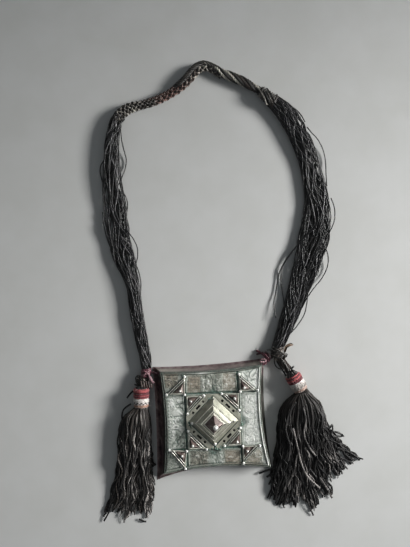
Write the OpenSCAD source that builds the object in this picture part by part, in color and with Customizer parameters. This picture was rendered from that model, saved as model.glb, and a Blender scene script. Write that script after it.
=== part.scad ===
// Desert amulet necklace, lying on its back: a square metal amulet case with a stepped silver front,
// hung by a leather thong between two tassels, on a loop of thin leather cords.
// Millimetres. The origin is the middle of the case's flat back, +X to the wearer's left as seen
// from the front, +Y towards the neck, and +Z out of the front.

/* [Case] */
// Height of the copper case, from its back to the top of its walls
case_h = 10; // [8:0.5:12]
// Thickness of the copper sheet
copper_t = 0.9; // [0.7:0.1:1.1]
// Diameter of the two holes for the thong
thong_hole_d = 3; // [2.8:0.1:3.2]

/* [Front plate] */
// Thickness of the silver sheet
plate_t = 0.8; // [0.6:0.1:1]
// Width of the raised rim
rim_w = 2.2; // [1.8:0.1:2.4]
// Height of the rim above the plate
rim_h = 0.9; // [0.6:0.1:1.2]

/* [Relief] */
// Distance from the middle of the stepped pyramid to its corners
pyramid_r = 18.2; // [17.5:0.1:18.4]
// Height of the stepped pyramid, without its cap
pyramid_h = 8.4; // [6:0.2:9]
// Height of the copper cap
cap_h = 4.4; // [3:0.2:5]
// Radius of the ball on the cap
cap_ball_r = 1.9; // [1.5:0.1:2.1]
// Width of the pierced band round the pyramid
band_w = 3.8; // [3.4:0.1:4]
// Height of the pierced band and of the triangles' frames
frame_h = 0.9; // [0.6:0.1:1.1]
// Radius of the solder balls on the corners
ball_r = 1.1; // [0.8:0.05:1.2]
// Height of the copper pyramids in the triangles
boss_h = 3.4; // [2.6:0.2:4]

/* [Neck cords] */
// Diameter of the thong that ties the case on
thong_d = 2.2; // [1.8:0.1:2.4]
// Diameter of the round plait at the nape
braid_d = 8.6; // [7:0.2:9]

/* [Tassels] */
// Outer diameter of the wraps on the tassels' heads
head_d = 12.2; // [11:0.2:12.8]
// Thickness of the wraps on the heads
wrap_t = 1.4; // [1:0.1:1.8]
// Thickness of a lock of leather strips
lock_t = 4.6; // [3.6:0.2:5.4]

/* [Hidden] */

seat = 0.05; // gap between a piece and what carries it
join_gap = 0.05; // share of a step along the route that stays open between two ends
tiny = 0.01; // lift that keeps faces from meeting exactly

copper = [0.45, 0.30, 0.26];
silver = [0.64, 0.66, 0.62];
burgundy = [0.42, 0.22, 0.25];
leather = [0.20, 0.19, 0.19];
tan_leather = [0.45, 0.38, 0.31];
braid_brown = [0.30, 0.25, 0.23];
red_thread = [0.62, 0.24, 0.26];
white_thread = [0.80, 0.77, 0.75];
ring_pink = [0.62, 0.42, 0.38];

plate_top = case_h + plate_t;
relief_z = plate_top + seat;
core_r = head_d / 2 - wrap_t - seat;

// Corners of the case, counter-clockwise from the bottom left one.
// Columns: x and y at the back, x and y at the front, and how far the side that follows bows in,
// at the back and at the front.
case_corners = [
    [-41.3, -46.9, -35.3, -38.8, 6.3, 3.4],
    [ 46.1, -37.8,  44.1, -33.6, 2.6, 3.6],
    [ 40.0,  45.8,  37.4,  42.5, 1.6, 1.7],
    [-44.8,  39.0, -38.3,  36.9, 1.2, 2.3]
];
side_steps = 12;

// The stepped pyramid, from the plate up.
// Columns: share of the corner distance, and share of the height.
tiers = [
    [1.00, 0.00], [1.00, 0.09], [0.76, 0.50], [0.76, 0.59], [0.72, 0.59], [0.72, 0.54],
    [0.53, 0.86], [0.53, 0.95], [0.49, 0.95], [0.49, 0.91], [0.41, 1.00]
];
// The hollow under the pyramid's sheet, in the same columns.
hollow_tiers = [[1.00, -0.10], [0.36, 0.90]];
pyramid_at = [1.7, 0.9];
pyramid_turn = 1.6;
pyramid_lean = [-0.1, -0.5]; // how far the hand-made top sits off the middle of its foot
cap_share = 0.38; // the cap's foot, as a share of the pyramid's corner distance
cap_foot_h = 0.4;
cap_top_r = 0.7;
cap_lean = [1.2, -1.0];

// The pierced band: each side has a slot between two square holes.
band_at = [1.5, 0.5];
band_turn = 2.6;
band_inner = 13.7; // from the middle to the band's inner edge
panel_half = 20.2; // half the side of the square panel that the band stays in
hole_side = 1.8;
slot_l = 4.2;
hole_pitch = 5.5;
plate_hole_margin = 0.2; // how much wider the holes in the plate are than those in the band

// The triangles: a right angle at x, y, with legs of the given length, turned from +X and +Y.
// Columns: x, y, turn, leg.
triangles = [
    ["corner_tl", -19.7,  20.0,  90.0, 14.2],
    ["corner_tr",  21.0,  22.4,   4.6, 13.6],
    ["corner_bl", -18.2, -21.3, 176.0, 13.6],
    ["corner_br",  22.9, -17.6, 272.4, 13.3],
    ["inner_tl",  -18.8,  19.1, 273.2, 13.5],
    ["inner_tr",   20.1,  21.5, 181.6, 13.3],
    ["inner_bl",  -17.3, -20.4,   0.6, 14.1],
    ["inner_br",   22.3, -17.0,  93.5, 13.2]
];
leg_strip = 1.2; // width of a frame along its legs
long_strip = 2.7; // width of a frame along its long side
ridge_offs = [0.3, 1.7]; // how far in from the long side its two ridges run
ridge_end = 2.4; // how far a ridge stops short of the frame's corners
ridge_w = 0.6;
ridge_h = 0.5;
ball_in = 0.25; // how far a corner's ball sits in from the corner
notch_gap = 0.15; // between a triangle and the notch for it in the rim or the pierced band
boss_gap = 0.1; // between a copper pyramid and its frame
boss_foot_h = 0.3;
boss_ball_r = 1.0;
boss_ball_sunk = 0.4; // share of its radius that a copper pyramid's ball is sunk in
boss_top = 0.12; // share of its foot that a copper pyramid keeps at the top

// The route of knots and cords, from the left tassel over the nape to the right tassel.
neck_route = [
    [-52.6, 26.1], [-52.2, 28.6], [-50.6, 30.6], [-49.6, 33.2], [-49.1, 35.8], [-49, 38.5],
    [-50, 46.5], [-52, 57], [-54, 67], [-56, 77], [-57.5, 88], [-59, 100],
    [-62, 111], [-65.5, 121], [-68, 131], [-70.5, 143], [-72.5, 158], [-74.5, 174],
    [-75.5, 190], [-75.5, 205], [-74, 217], [-70.5, 227], [-64, 233.5], [-55, 237],
    [-46, 239.5], [-38, 242.5], [-30.5, 246.5], [-24, 251], [-18.5, 257], [-13, 263.5],
    [-6, 267], [1.5, 264.5], [9, 260.5], [17, 257.5], [25, 254], [32, 250], [38, 246.5],
    [44, 241.5], [50, 236.5], [56, 230.5], [61.5, 222.5], [66.5, 213], [71, 202],
    [74.5, 190.5], [77.5, 178], [79.5, 165], [79.5, 151], [77.5, 138], [74, 124], [70, 110],
    [65.5, 97.5], [61.5, 85], [57, 72], [52.5, 61], [50, 54.5],
    [49.6, 50.4], [51.4, 46.4], [55, 41.6], [58.6, 36.7]
];
// The places along the route where one piece ends and the next starts.
left_knot_from = 0;
left_tie_from = 2.6;
left_strands_from = 5;
braid_from = 21;
twist_from = 31;
wrap_from = 36;
right_strands_from = 37.4;
right_knot_from = 54;
right_lead_from = 56;
route_end = len(neck_route) - 1;
cord_rings = 1.5; // rings for each step of the route: on the bundles, on the plaits, on the knots
plait_rings = 2;
knot_rings = 3;

// Sizes along the route. Columns: place along the route, width, height.
left_knot_sizes = [[0, 6.6, 7.6], [1.2, 9.4, 8.8], [2.6, 8.4, 7.8]];
left_tie_sizes = [[2.6, 7.6, 7.6], [3.8, 8.4, 8], [5, 7.6, 7.4]];
left_strand_sizes = [
    [5, 7.5, 7], [6, 9.5, 7], [8, 10, 7.5], [11, 10.5, 7.5], [12, 13, 8], [13, 17, 8],
    [14, 18.5, 8], [16, 18, 8], [17.5, 15, 8], [19, 12, 8], [20, 11, 8], [21, 10, 8]
];
braid_sizes = [
    [21, braid_d + 1.6, braid_d], [22, braid_d + 1, braid_d], [23.5, braid_d, braid_d],
    [29, braid_d, braid_d], [31, braid_d - 0.6, braid_d]
];
twist_sizes = [[31, 8, 7], [33, 9, 7], [36, 8, 7]];
wrap_sizes = [[36, 9, 8.4], [36.7, 10, 9], [37.4, 11, 8.4]];
right_strand_sizes = [
    [37.4, 11.5, 8], [39, 15, 8], [41, 16, 8], [43, 15.5, 8], [45, 19, 8.5], [46, 23, 8.5],
    [47, 24, 8.5], [48, 22.5, 8], [49, 20, 8], [50, 16, 8], [51, 14.5, 8], [52, 13.5, 8],
    [53, 10.5, 7.5], [54, 9, 7.5]
];
right_knot_sizes = [[54, 9, 7.8], [55, 11, 9.6], [56, 8, 7.6]];
right_lead_sizes = [[56, 6.4, 6.6], [57, 5.6, 6.4], [58, 6, 8]];

// Thin thongs and tails, with the height of their middle as the third number.
thong_route = [
    [-44.4, 35.7, 4.8], [-43, 35.2, 5], [-41, 35, 5], [-38, 35, 5], [-30, 35.1, 5],
    [-20, 35.6, 5], [-10, 36.2, 5], [0, 36.9, 5], [10, 37.8, 5], [20, 38.8, 5], [30, 40, 5],
    [36, 40.9, 5], [39, 41.6, 5], [41.2, 43.4, 5], [42.8, 45.6, 5], [43.8, 47.7, 5]
];
thong_holes = [2, 12]; // the places along its route where the thong goes through a wall
hole_reach = 6;
thong_rings = 2;
left_tail_route = [[-45.9, 32.6, 8.2], [-44.6, 30.4, 8.6], [-43, 28, 8.2]];
leather_tail_route = [[55, 52.8, 6.8], [56, 55.4, 7.8], [58.6, 57, 8], [61.2, 56.6, 7]];
tail_w = 3;
tail_h = 1.4;

// The tassels' heads. Columns: where the head starts, its heading, then how far along it the red
// wrap starts and ends, and where the white wrap and the end ring end.
START = 0;
HEADING = 1;
RED_FROM = 2;
RED_TO = 3;
WHITE_TO = 4;
RING_TO = 5;
left_head = [[-52.6, 25.5], -90, 1.5, 8.6, 13.1, 15.4];
right_head = [[59, 36.3], -59, 3.0, 8.7, 14.0, 15.8];
core_neck = 0.6; // share of its radius that a core has where the head starts
wrap_round = 0.5; // how far the edges of a wrap are rounded
white_in = 0.1; // how much less the radius of the white wrap is, and of the end ring
ring_in = 0.4;

// The locks of the skirts. Columns: x and y of the shoulder, x and y of the tip, and the width.
left_locks = [
    [-68.5, -2, -81, -74.5, 2.6], [-66.5, 0, -77, -66, 5], [-64.5, 2, -73, -72, 5],
    [-62, 2, -69, -67, 5.4], [-59, 2, -65.5, -77, 4.6], [-56.5, 2, -61, -69, 5.4],
    [-54, 2, -56.5, -73, 5], [-51.5, 2, -52, -70, 5], [-49.5, 2, -48.7, -75.5, 3.6],
    [-48, 1, -46.8, -66, 5], [-47, -1, -44, -59.5, 4.4], [-47, -3, -44, -36, 3.4]
];
right_locks = [
    [52, 8, 44.5, -58, 4.8], [53.5, 10, 47, -65, 5], [56, 10, 51.5, -62, 5.4],
    [58.5, 10, 55, -68, 5], [61, 10, 60, -63, 5.4], [63.5, 10, 64.5, -69, 5],
    [66, 9.5, 70, -63, 5.4], [68.5, 9, 76.5, -71.5, 4.4], [70.5, 9, 80, -64, 5],
    [73, 8.5, 84.5, -58, 5], [75, 8.5, 90.5, -59, 4], [77, 8.5, 88, -49, 5],
    [79, 9, 94.5, -46, 4.6], [81, 9.5, 98, -41, 4.6], [82.5, 9.5, 104, -36.5, 4.4],
    [83.5, 8, 112.5, -32, 3]
];
// Single strips that stray from the right skirt. Columns: x and y of the root and of the tip.
right_strays = [
    [52, -8, 47.2, -28], [52, -36, 36.2, -41.5], [53, -38, 41.8, -44.2], [91, -9, 99.4, -12.4]
];
stray_root_z = 3;
stray_w = 1.8;
stray_t = 1.4;

// Where the locks of each skirt start, just below its head.
left_root = [-52.6, 7.2, head_d / 2];
right_root = [68.5, 19.5, head_d / 2];
lock_steps = 4;
slab_l = 0.4;
lock_shoulder = 0.62 * head_d; // how high an upper lock's shoulder is, and how high it runs on
lock_arch = 1.3 * lock_t;
lock_low = lock_t / 2 + 0.6;
lock_tip_z = 0.3 * lock_t;
lock_thinning = 0.4; // shares of its thickness and width that a lock loses towards its tip
lock_narrowing = 0.3;

// The thick middle of each skirt. Columns: x, y, width, height, turn.
left_backing = [
    [-52.6, 9.4, 10, 10, 0], [-57, 2, 21, 12, 0], [-58.5, -12, 23, 11, 0], [-60, -36, 22, 8, 0]
];
right_backing = [
    [67.5, 22.1, 10, 10, 31], [67.5, 10, 28, 12, 0], [69, -4, 33, 11, 0], [71, -32, 40, 8, 0]
];

function unit(v) = v / norm(v);
function left_of(v) = [-v.y, v.x];
function spin(v, a) = [v.x * cos(a) - v.y * sin(a), v.x * sin(a) + v.y * cos(a)];

// A side from a to b that bows in: the point at t, and the headings at its two ends.
function side_point(a, b, bow, t) = a + (b - a) * t + left_of(unit(b - a)) * bow * 4 * t * (1 - t);
function leaving(a, b, bow) = unit(b - a + left_of(unit(b - a)) * 4 * bow);
function arriving(a, b, bow) = unit(a - b + left_of(unit(b - a)) * 4 * bow);

function corner_at(rows, i) = let (r = rows[(i + 4) % 4]) [r[0], r[1]];
function bow_at(rows, i) = rows[(i + 4) % 4][2];
function back_rows() = [for (r = case_corners) [r[0], r[1], r[4]]];
function front_rows() = [for (r = case_corners) [r[2], r[3], r[5]]];

// The corner that an outline has when all its sides move in by d.
function inset_corner(rows, i, d) =
    let (c = corner_at(rows, i))
    let (onward = leaving(c, corner_at(rows, i + 1), bow_at(rows, i)))
    let (back = arriving(corner_at(rows, i - 1), c, bow_at(rows, i - 1)))
    let (cosine = onward * back)
    c + (onward + back) * d / sqrt(1 - cosine * cosine);

function inset_rows(rows, d) = [
    for (i = [0 : 3])
        let (a = inset_corner(rows, i, d), b = inset_corner(rows, i + 1, d))
        let (old = side_point(corner_at(rows, i), corner_at(rows, i + 1), bow_at(rows, i), 0.5))
        let (inward = left_of(unit(b - a)))
        [a.x, a.y, (old + inward * d - (a + b) / 2) * inward]
];

function outline(rows, d) =
    let (r = inset_rows(rows, d))
    [for (i = [0 : 3], k = [0 : side_steps - 1])
        side_point(corner_at(r, i), corner_at(r, i + 1), bow_at(r, i), k / side_steps)];

function raised(points, z) = [for (p = points) [p.x, p.y, z]];
function square_ring(middle, r, turn, z) =
    [for (k = [0 : 3]) let (p = middle + spin([r, 0], turn + 90 * k)) [p.x, p.y, z]];

// A smooth curve through a route's points: where it is at u, and its heading there.
function clamped(route, i) = route[max(0, min(len(route) - 1, i))];
function curve(a, b, c, d, t) =
    0.5 * (2 * b + (c - a) * t + (2 * a - 5 * b + 4 * c - d) * t ^ 2 + (3 * b - a - 3 * c + d) * t ^ 3);
function route_point(route, u) =
    let (i = max(0, min(len(route) - 2, floor(u))))
    curve(clamped(route, i - 1), clamped(route, i), clamped(route, i + 1), clamped(route, i + 2), u - i);
function heading(route, u) =
    let (a = route_point(route, max(0, u - 0.05)))
    let (b = route_point(route, min(len(route) - 1, u + 0.05)))
    unit([b.x - a.x, b.y - a.y]);
function size_at(sizes, column, u) = lookup(u, [for (r = sizes) [r[0], r[column]]]);

// One ring of a cord: its lowest face lies at z = low.
function cord_ring(middle, along, w, h, low, sides) =
    let (across = left_of(along), flat = cos(180 / sides))
    [for (k = [0 : sides - 1])
        let (a = 180 / sides + 360 * k / sides)
        let (p = middle + across * w / 2 * cos(a) / flat)
        [p.x, p.y, low + h / 2 + h / 2 * sin(a) / flat]];

module lofted(rings) {
    n = len(rings[0]);
    m = len(rings);
    sides = [for (k = [0 : m - 2], j = [0 : n - 1])
        [k * n + j, (k + 1) * n + j, (k + 1) * n + (j + 1) % n, k * n + (j + 1) % n]];
    low_end = [for (j = [0 : n - 1]) j];
    high_end = [for (j = [n - 1 : -1 : 0]) (m - 1) * n + j];
    polyhedron([for (r = rings, p = r) p], concat(sides, [low_end, high_end]));
}

// A bundle or knot that lies on the surface, along the route from one place to the next piece.
module laid(sizes, from, to, rings_a_step) {
    length = to - from - (to < route_end ? join_gap : 0);
    steps = ceil(length * rings_a_step);
    lofted([for (k = [0 : steps])
        let (u = from + length * k / steps, w = size_at(sizes, 1, u), h = size_at(sizes, 2, u))
        cord_ring(route_point(neck_route, u), heading(neck_route, u), w, h, 0, 12)]);
}

// A thin thong or strip whose middle follows a route in space.
module thin(route, w, h) {
    steps = (len(route) - 1) * thong_rings;
    lofted([for (k = [0 : steps])
        let (u = k / thong_rings, p = route_point(route, u))
        cord_ring([p.x, p.y], heading(route, u), w, h, p.z - h / 2, 8)]);
}

module case()
    color(copper)
    difference() {
        lofted([
            raised(outline(back_rows(), 0), 0), raised(outline(front_rows(), 0), case_h),
            raised(outline(front_rows(), copper_t), case_h),
            raised(outline(back_rows(), copper_t), copper_t)
        ]);
        for (u = thong_holes)
            translate(route_point(thong_route, u))
            rotate([0, 0, atan2(heading(thong_route, u).y, heading(thong_route, u).x)])
            rotate([0, 90, 0])
            cylinder(d = thong_hole_d, h = hole_reach, center = true, $fn = 32);
    }

module band_holes(margin)
    translate([band_at.x, band_at.y, 0])
    for (k = [0 : 3])
        rotate([0, 0, 45 + band_turn + 90 * k])
        translate([band_inner + band_w / 2, 0])
        for (j = [-1 : 1])
            translate([0, j * hole_pitch])
            square([hole_side, j == 0 ? slot_l : hole_side] + [margin, margin], center = true);

// Where the balls of a triangle sit: on all three corners of an outer one, on two of an inner one.
function ball_places(row) =
    let (far = row[4] - 2 * ball_in, outer = row[0][0] == "c")
    [[far, ball_in], [ball_in, far], if (outer) [ball_in, ball_in]];

// What the triangles and their balls take out of the rim and the pierced band.
module notches()
    for (row = triangles)
        translate([row[1], row[2]]) rotate(row[3]) {
            far = row[4] + notch_gap * (1 + sqrt(2));
            polygon([[-notch_gap, -notch_gap], [far, -notch_gap], [-notch_gap, far]]);
            for (p = ball_places(row)) translate(p) circle(ball_r + notch_gap, $fn = 32);
        }

module front_plate()
    color(silver)
    translate([0, 0, case_h + tiny])
    difference() {
        union() {
            linear_extrude(plate_t - tiny) polygon(outline(front_rows(), 0));
            linear_extrude(plate_t - tiny + rim_h) difference() {
                polygon(outline(front_rows(), 0));
                polygon(outline(front_rows(), rim_w));
                notches();
            }
        }
        translate([0, 0, -1]) linear_extrude(plate_t + 2) band_holes(plate_hole_margin);
    }

module pierced_frame()
    color(silver)
    translate([0, 0, relief_z])
    linear_extrude(frame_h)
    difference() {
        translate(band_at) intersection() {
            rotate(45 + band_turn) square(2 * (band_inner + band_w), center = true);
            rotate(band_turn) square(2 * panel_half, center = true);
        }
        translate(band_at) rotate(45 + band_turn) square(2 * band_inner, center = true);
        band_holes(0);
        notches();
    }

function tier_middle(share) = pyramid_at + pyramid_lean * max(0, min(1, share * 2));

module pyramid_form(rows)
    lofted([for (t = rows)
        square_ring(tier_middle(t[1]), pyramid_r * t[0], pyramid_turn, relief_z + pyramid_h * t[1])]);

module stepped_pyramid()
    color(silver) difference() {
        pyramid_form(tiers);
        pyramid_form(hollow_tiers);
    }

module copper_cap() {
    foot_z = relief_z + pyramid_h + seat;
    color(copper) lofted([
        square_ring(tier_middle(1), pyramid_r * cap_share, pyramid_turn, foot_z),
        square_ring(tier_middle(1), pyramid_r * cap_share, pyramid_turn, foot_z + cap_foot_h),
        square_ring(tier_middle(1) + cap_lean, cap_top_r, pyramid_turn, foot_z + cap_h)
    ]);
}

module cap_ball() {
    at = tier_middle(1) + cap_lean;
    color(silver)
    translate([at.x, at.y, relief_z + pyramid_h + cap_h + 2 * seat + cap_ball_r])
    sphere(cap_ball_r, $fn = 32);
}

// A right-angled triangle with legs from near to leg, whose long side stays off the corners by far.
function right_triangle(leg, near, far) =
    let (reach = leg - near - far * sqrt(2)) [[near, near], [reach, near], [near, reach]];

module in_triangle(row)
    translate([row[1], row[2], relief_z]) rotate([0, 0, row[3]]) children();

module triangle_frame(row) {
    leg = row[4];
    color(silver) in_triangle(row) {
        linear_extrude(frame_h) difference() {
            polygon([[0, 0], [leg, 0], [0, leg]]);
            polygon(right_triangle(leg, leg_strip, long_strip));
        }
        for (off = ridge_offs)
            translate([leg / 2, leg / 2, 0]) rotate([0, 0, 135])
            translate([ridge_end - leg / sqrt(2), off, 0])
            cube([leg * sqrt(2) - 2 * ridge_end, ridge_w, frame_h + ridge_h]);
        for (p = ball_places(row))
            translate([p.x, p.y, ball_r + tiny]) sphere(ball_r, $fn = 24);
    }
}

module triangle_boss(row) {
    foot = right_triangle(row[4], leg_strip + boss_gap, long_strip + boss_gap);
    middle = foot[0] + [1, 1] * (foot[1].x - foot[0].x) * (1 - 1 / sqrt(2));
    color(copper) in_triangle(row) {
        lofted([
            raised(foot, 0), raised(foot, boss_foot_h),
            raised([for (p = foot) middle + (p - middle) * boss_top], boss_h)
        ]);
        translate([middle.x, middle.y, boss_h + boss_ball_r * (1 - boss_ball_sunk)])
        sphere(boss_ball_r, $fn = 24);
    }
}

module thong() color(burgundy) thin(thong_route, thong_d, thong_d);
module left_thong_tail() color(burgundy) thin(left_tail_route, thong_d, thong_d);
module right_leather_tail() color(tan_leather) thin(leather_tail_route, tail_w, tail_h);

module left_knot() color(leather) laid(left_knot_sizes, left_knot_from, left_tie_from, knot_rings);
module left_tie() color(burgundy) laid(left_tie_sizes, left_tie_from, left_strands_from, knot_rings);
module left_strands() color(leather) laid(left_strand_sizes, left_strands_from, braid_from, cord_rings);
module neck_braid() color(braid_brown) laid(braid_sizes, braid_from, twist_from, plait_rings);
module neck_twist() color(leather) laid(twist_sizes, twist_from, wrap_from, plait_rings);
module neck_wrap() color(leather) laid(wrap_sizes, wrap_from, right_strands_from, plait_rings);
module right_strands()
    color(leather) laid(right_strand_sizes, right_strands_from, right_knot_from, cord_rings);
module right_knot() color(leather) laid(right_knot_sizes, right_knot_from, right_lead_from, knot_rings);
module right_lead() color(leather) laid(right_lead_sizes, right_lead_from, route_end, knot_rings);

module on_head(head)
    translate([head[START].x, head[START].y, head_d / 2])
    rotate([0, 0, head[HEADING]])
    rotate([0, 90, 0])
    children();

module head_core(head)
    color(leather) on_head(head) rotate_extrude($fn = 48)
    polygon([
        [0, 0], [core_r * core_neck, 0], [core_r, head[RED_FROM]], [core_r, head[RING_TO]],
        [0, head[RING_TO]]
    ]);

// A wrap from one place on the head to another, with rounded edges.
module head_wrap(head, from, to, outer_r)
    on_head(head) rotate_extrude($fn = 48)
    polygon([
        [core_r + seat, from], [outer_r - wrap_round, from], [outer_r, from + wrap_round],
        [outer_r, to - wrap_round], [outer_r - wrap_round, to], [core_r + seat, to]
    ]);

module red_wrap(head) color(red_thread) head_wrap(head, head[RED_FROM], head[RED_TO], head_d / 2);
module white_wrap(head)
    color(white_thread) head_wrap(head, head[RED_TO] + seat, head[WHITE_TO], head_d / 2 - white_in);
module end_ring(head)
    color(ring_pink) head_wrap(head, head[WHITE_TO] + seat, head[RING_TO], head_d / 2 - ring_in);

// One place on a lock: a slab across its heading.
module slab(p, angle, w, t) translate(p) rotate([0, 0, angle]) cube([slab_l, w, t], center = true);

module lock(root, row, high) {
    shoulder = [row[0], row[1], high ? lock_shoulder : lock_low];
    tip = [row[2], row[3], lock_tip_z];
    middle = [
        shoulder.x + (tip.x - shoulder.x) * 0.3, (shoulder.y + tip.y) / 2, high ? lock_arch : lock_t / 2
    ];
    path = [root, shoulder, middle, tip];
    for (k = [0 : lock_steps - 1])
        hull() for (j = [k, k + 1]) {
            u = 3 * j / lock_steps;
            share = j / lock_steps;
            along = heading(path, u);
            thick = lock_t * (1 - lock_thinning * share * share);
            w = row[4] * (1 - lock_narrowing * share);
            p = route_point(path, u);
            slab([p.x, p.y, max(p.z, thick / 2)], atan2(along.y, along.x), w, thick);
        }
}

module backing(rows)
    for (k = [0 : len(rows) - 2])
        hull() for (row = [rows[k], rows[k + 1]])
            translate([row[0], row[1], row[3] / 2]) rotate([90, 0, row[4]])
            scale([row[2], row[3], 1]) cylinder(d = 1, h = slab_l, center = true, $fn = 12);

module left_skirt()
    color(leather) union() {
        backing(left_backing);
        for (i = [0 : len(left_locks) - 1])
            lock(left_root, left_locks[i], i % 2 == 1);
    }

module right_skirt()
    color(leather) union() {
        backing(right_backing);
        for (i = [0 : len(right_locks) - 1])
            lock(right_root, right_locks[i], i % 2 == 1);
        for (s = right_strays) {
            angle = atan2(s[3] - s[1], s[2] - s[0]);
            hull() {
                slab([s[0], s[1], stray_root_z], angle, stray_w, stray_t);
                slab([s[2], s[3], stray_t / 2], angle, stray_w, stray_t);
            }
        }
    }

case();
front_plate();
pierced_frame();
stepped_pyramid();
copper_cap();
cap_ball();
for (row = triangles) {
    triangle_frame(row);
    triangle_boss(row);
}
thong();
left_tie();
left_thong_tail();
left_knot();
right_knot();
right_leather_tail();
right_lead();
left_strands();
neck_braid();
neck_twist();
neck_wrap();
right_strands();
head_core(left_head);  // left_head_core
red_wrap(left_head);  // left_red_wrap
white_wrap(left_head);  // left_white_wrap
end_ring(left_head);  // left_end_ring
left_skirt();
head_core(right_head);  // right_head_core
red_wrap(right_head);  // right_red_wrap
white_wrap(right_head);  // right_white_wrap
end_ring(right_head);  // right_end_ring
right_skirt();
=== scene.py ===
"""The amulet pendant's looks: cords, knots, tassels, engraved front and materials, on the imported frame."""
import math

import bmesh
import bpy
import numpy as np
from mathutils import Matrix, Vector
from mathutils.bvhtree import BVHTree


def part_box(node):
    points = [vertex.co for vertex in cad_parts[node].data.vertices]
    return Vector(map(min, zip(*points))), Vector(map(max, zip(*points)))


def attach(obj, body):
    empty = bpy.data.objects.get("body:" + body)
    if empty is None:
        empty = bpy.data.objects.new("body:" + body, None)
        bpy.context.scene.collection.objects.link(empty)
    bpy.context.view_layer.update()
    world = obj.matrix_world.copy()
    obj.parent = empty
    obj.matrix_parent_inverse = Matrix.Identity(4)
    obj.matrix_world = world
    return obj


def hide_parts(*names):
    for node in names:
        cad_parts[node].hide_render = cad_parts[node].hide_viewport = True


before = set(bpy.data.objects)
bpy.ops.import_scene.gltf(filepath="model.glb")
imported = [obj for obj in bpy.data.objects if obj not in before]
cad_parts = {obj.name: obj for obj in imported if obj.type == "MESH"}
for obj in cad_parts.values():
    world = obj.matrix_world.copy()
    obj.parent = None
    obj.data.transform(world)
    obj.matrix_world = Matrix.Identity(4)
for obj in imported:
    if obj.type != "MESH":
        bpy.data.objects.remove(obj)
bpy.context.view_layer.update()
MM = 0.001
UP = np.array([0.0, 0.0, 1.0])
TAU = 2 * math.pi


def linked(name, data):
    """A new object in the scene."""
    made = bpy.data.objects.new(name, data)
    bpy.context.scene.collection.objects.link(made)
    return made


# Camera: straight above, as in the photograph.
camera = linked("camera", bpy.data.cameras.new("camera"))
camera.location = (-0.00486, 0.110, 0.446)
camera.data.angle = math.radians(49.98)
camera.data.clip_start = 0.01
bpy.context.scene.camera = camera
# Its height in millimetres, its place and the photograph's middle in pixels, and a pixel's size on the floor.
EYE_H, EYE, CENTRE, PIXEL = 446, (-6.4, 144.75), (205, 273.5), 0.76


def table(width, *numbers):
    """Rows of so many numbers."""
    return np.array(numbers, float).reshape(-1, width)


# Routes and sizes, as in the part's source, in millimetres. Sizes are place along the route, width and height.
NECK_ROUTE = table(2, -52.6, 26.1, -52.2, 28.6, -50.6, 30.6, -49.6, 33.2, -49.1, 35.8, -49, 38.5, -50, 46.5,
    -52, 57, -54, 67, -56, 77, -57.5, 88, -59, 100, -62, 111, -65.5, 121, -68, 131, -70.5, 143, -72.5, 158,
    -74.5, 174, -75.5, 190, -75.5, 205, -74, 217, -70.5, 227, -64, 233.5, -55, 237, -46, 239.5, -38, 242.5,
    -30.5, 246.5, -24, 251, -18.5, 257, -13, 263.5, -6, 267, 1.5, 264.5, 9, 260.5, 17, 257.5, 25, 254, 32, 250,
    38, 246.5, 44, 241.5, 50, 236.5, 56, 230.5, 61.5, 222.5, 66.5, 213, 71, 202, 74.5, 190.5, 77.5, 178,
    79.5, 165, 79.5, 151, 77.5, 138, 74, 124, 70, 110, 65.5, 97.5, 61.5, 85, 57, 72, 52.5, 61, 50, 54.5,
    49.6, 50.4, 51.4, 46.4, 55, 41.6, 58.6, 36.7)
LEFT_SIZES = table(3, 5, 7.5, 7, 6, 9.5, 7, 8, 10, 7.5, 11, 10.5, 7.5, 12, 13, 8, 13, 17, 8, 14, 18.5, 8,
    16, 18, 8, 17.5, 15, 8, 19, 12, 8, 20, 11, 8, 21, 10, 8)
RIGHT_SIZES = table(3, 37.4, 11.5, 8, 39, 15, 8, 41, 16, 8, 43, 15.5, 8, 45, 19, 8.5, 46, 23, 8.5, 47, 24, 8.5,
    48, 22.5, 8, 49, 20, 8, 50, 16, 8, 51, 14.5, 8, 52, 13.5, 8, 53, 10.5, 7.5, 54, 9, 7.5)
LEFT_KNOT = table(3, 0, 6.6, 7.6, 1.2, 9.4, 8.8, 2.6, 8.4, 7.8)
LEFT_TIE = table(3, 2.6, 7.6, 7.6, 3.8, 8.4, 8, 5, 7.6, 7.4)
RIGHT_KNOT = table(3, 54, 9, 7.8, 55, 11, 9.6, 56, 8, 7.6)
THONG_ROUTE = table(3, -44.4, 35.7, 4.8, -43, 35.2, 5, -41, 35, 5, -38, 35, 5, -30, 35.1, 5, -20, 35.6, 5,
    -10, 36.2, 5, 0, 36.9, 5, 10, 37.8, 5, 20, 38.8, 5, 30, 40, 5, 36, 40.9, 5, 39, 41.6, 5, 41.2, 43.4, 5,
    42.8, 45.6, 5, 43.8, 47.7, 5)
HEAD_R, CORE_R, LACE_R = 6.1, 4.65, 0.43
# Where each tassel's head starts, its heading, and how far along it its wraps start and end.
LEFT_HEAD = ([-52.6, 25.5], -90, [1.5, 8.6, 13.1, 15.4])
RIGHT_HEAD = ([59, 36.3], -59, [3.0, 8.7, 14.0, 15.8])
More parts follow.
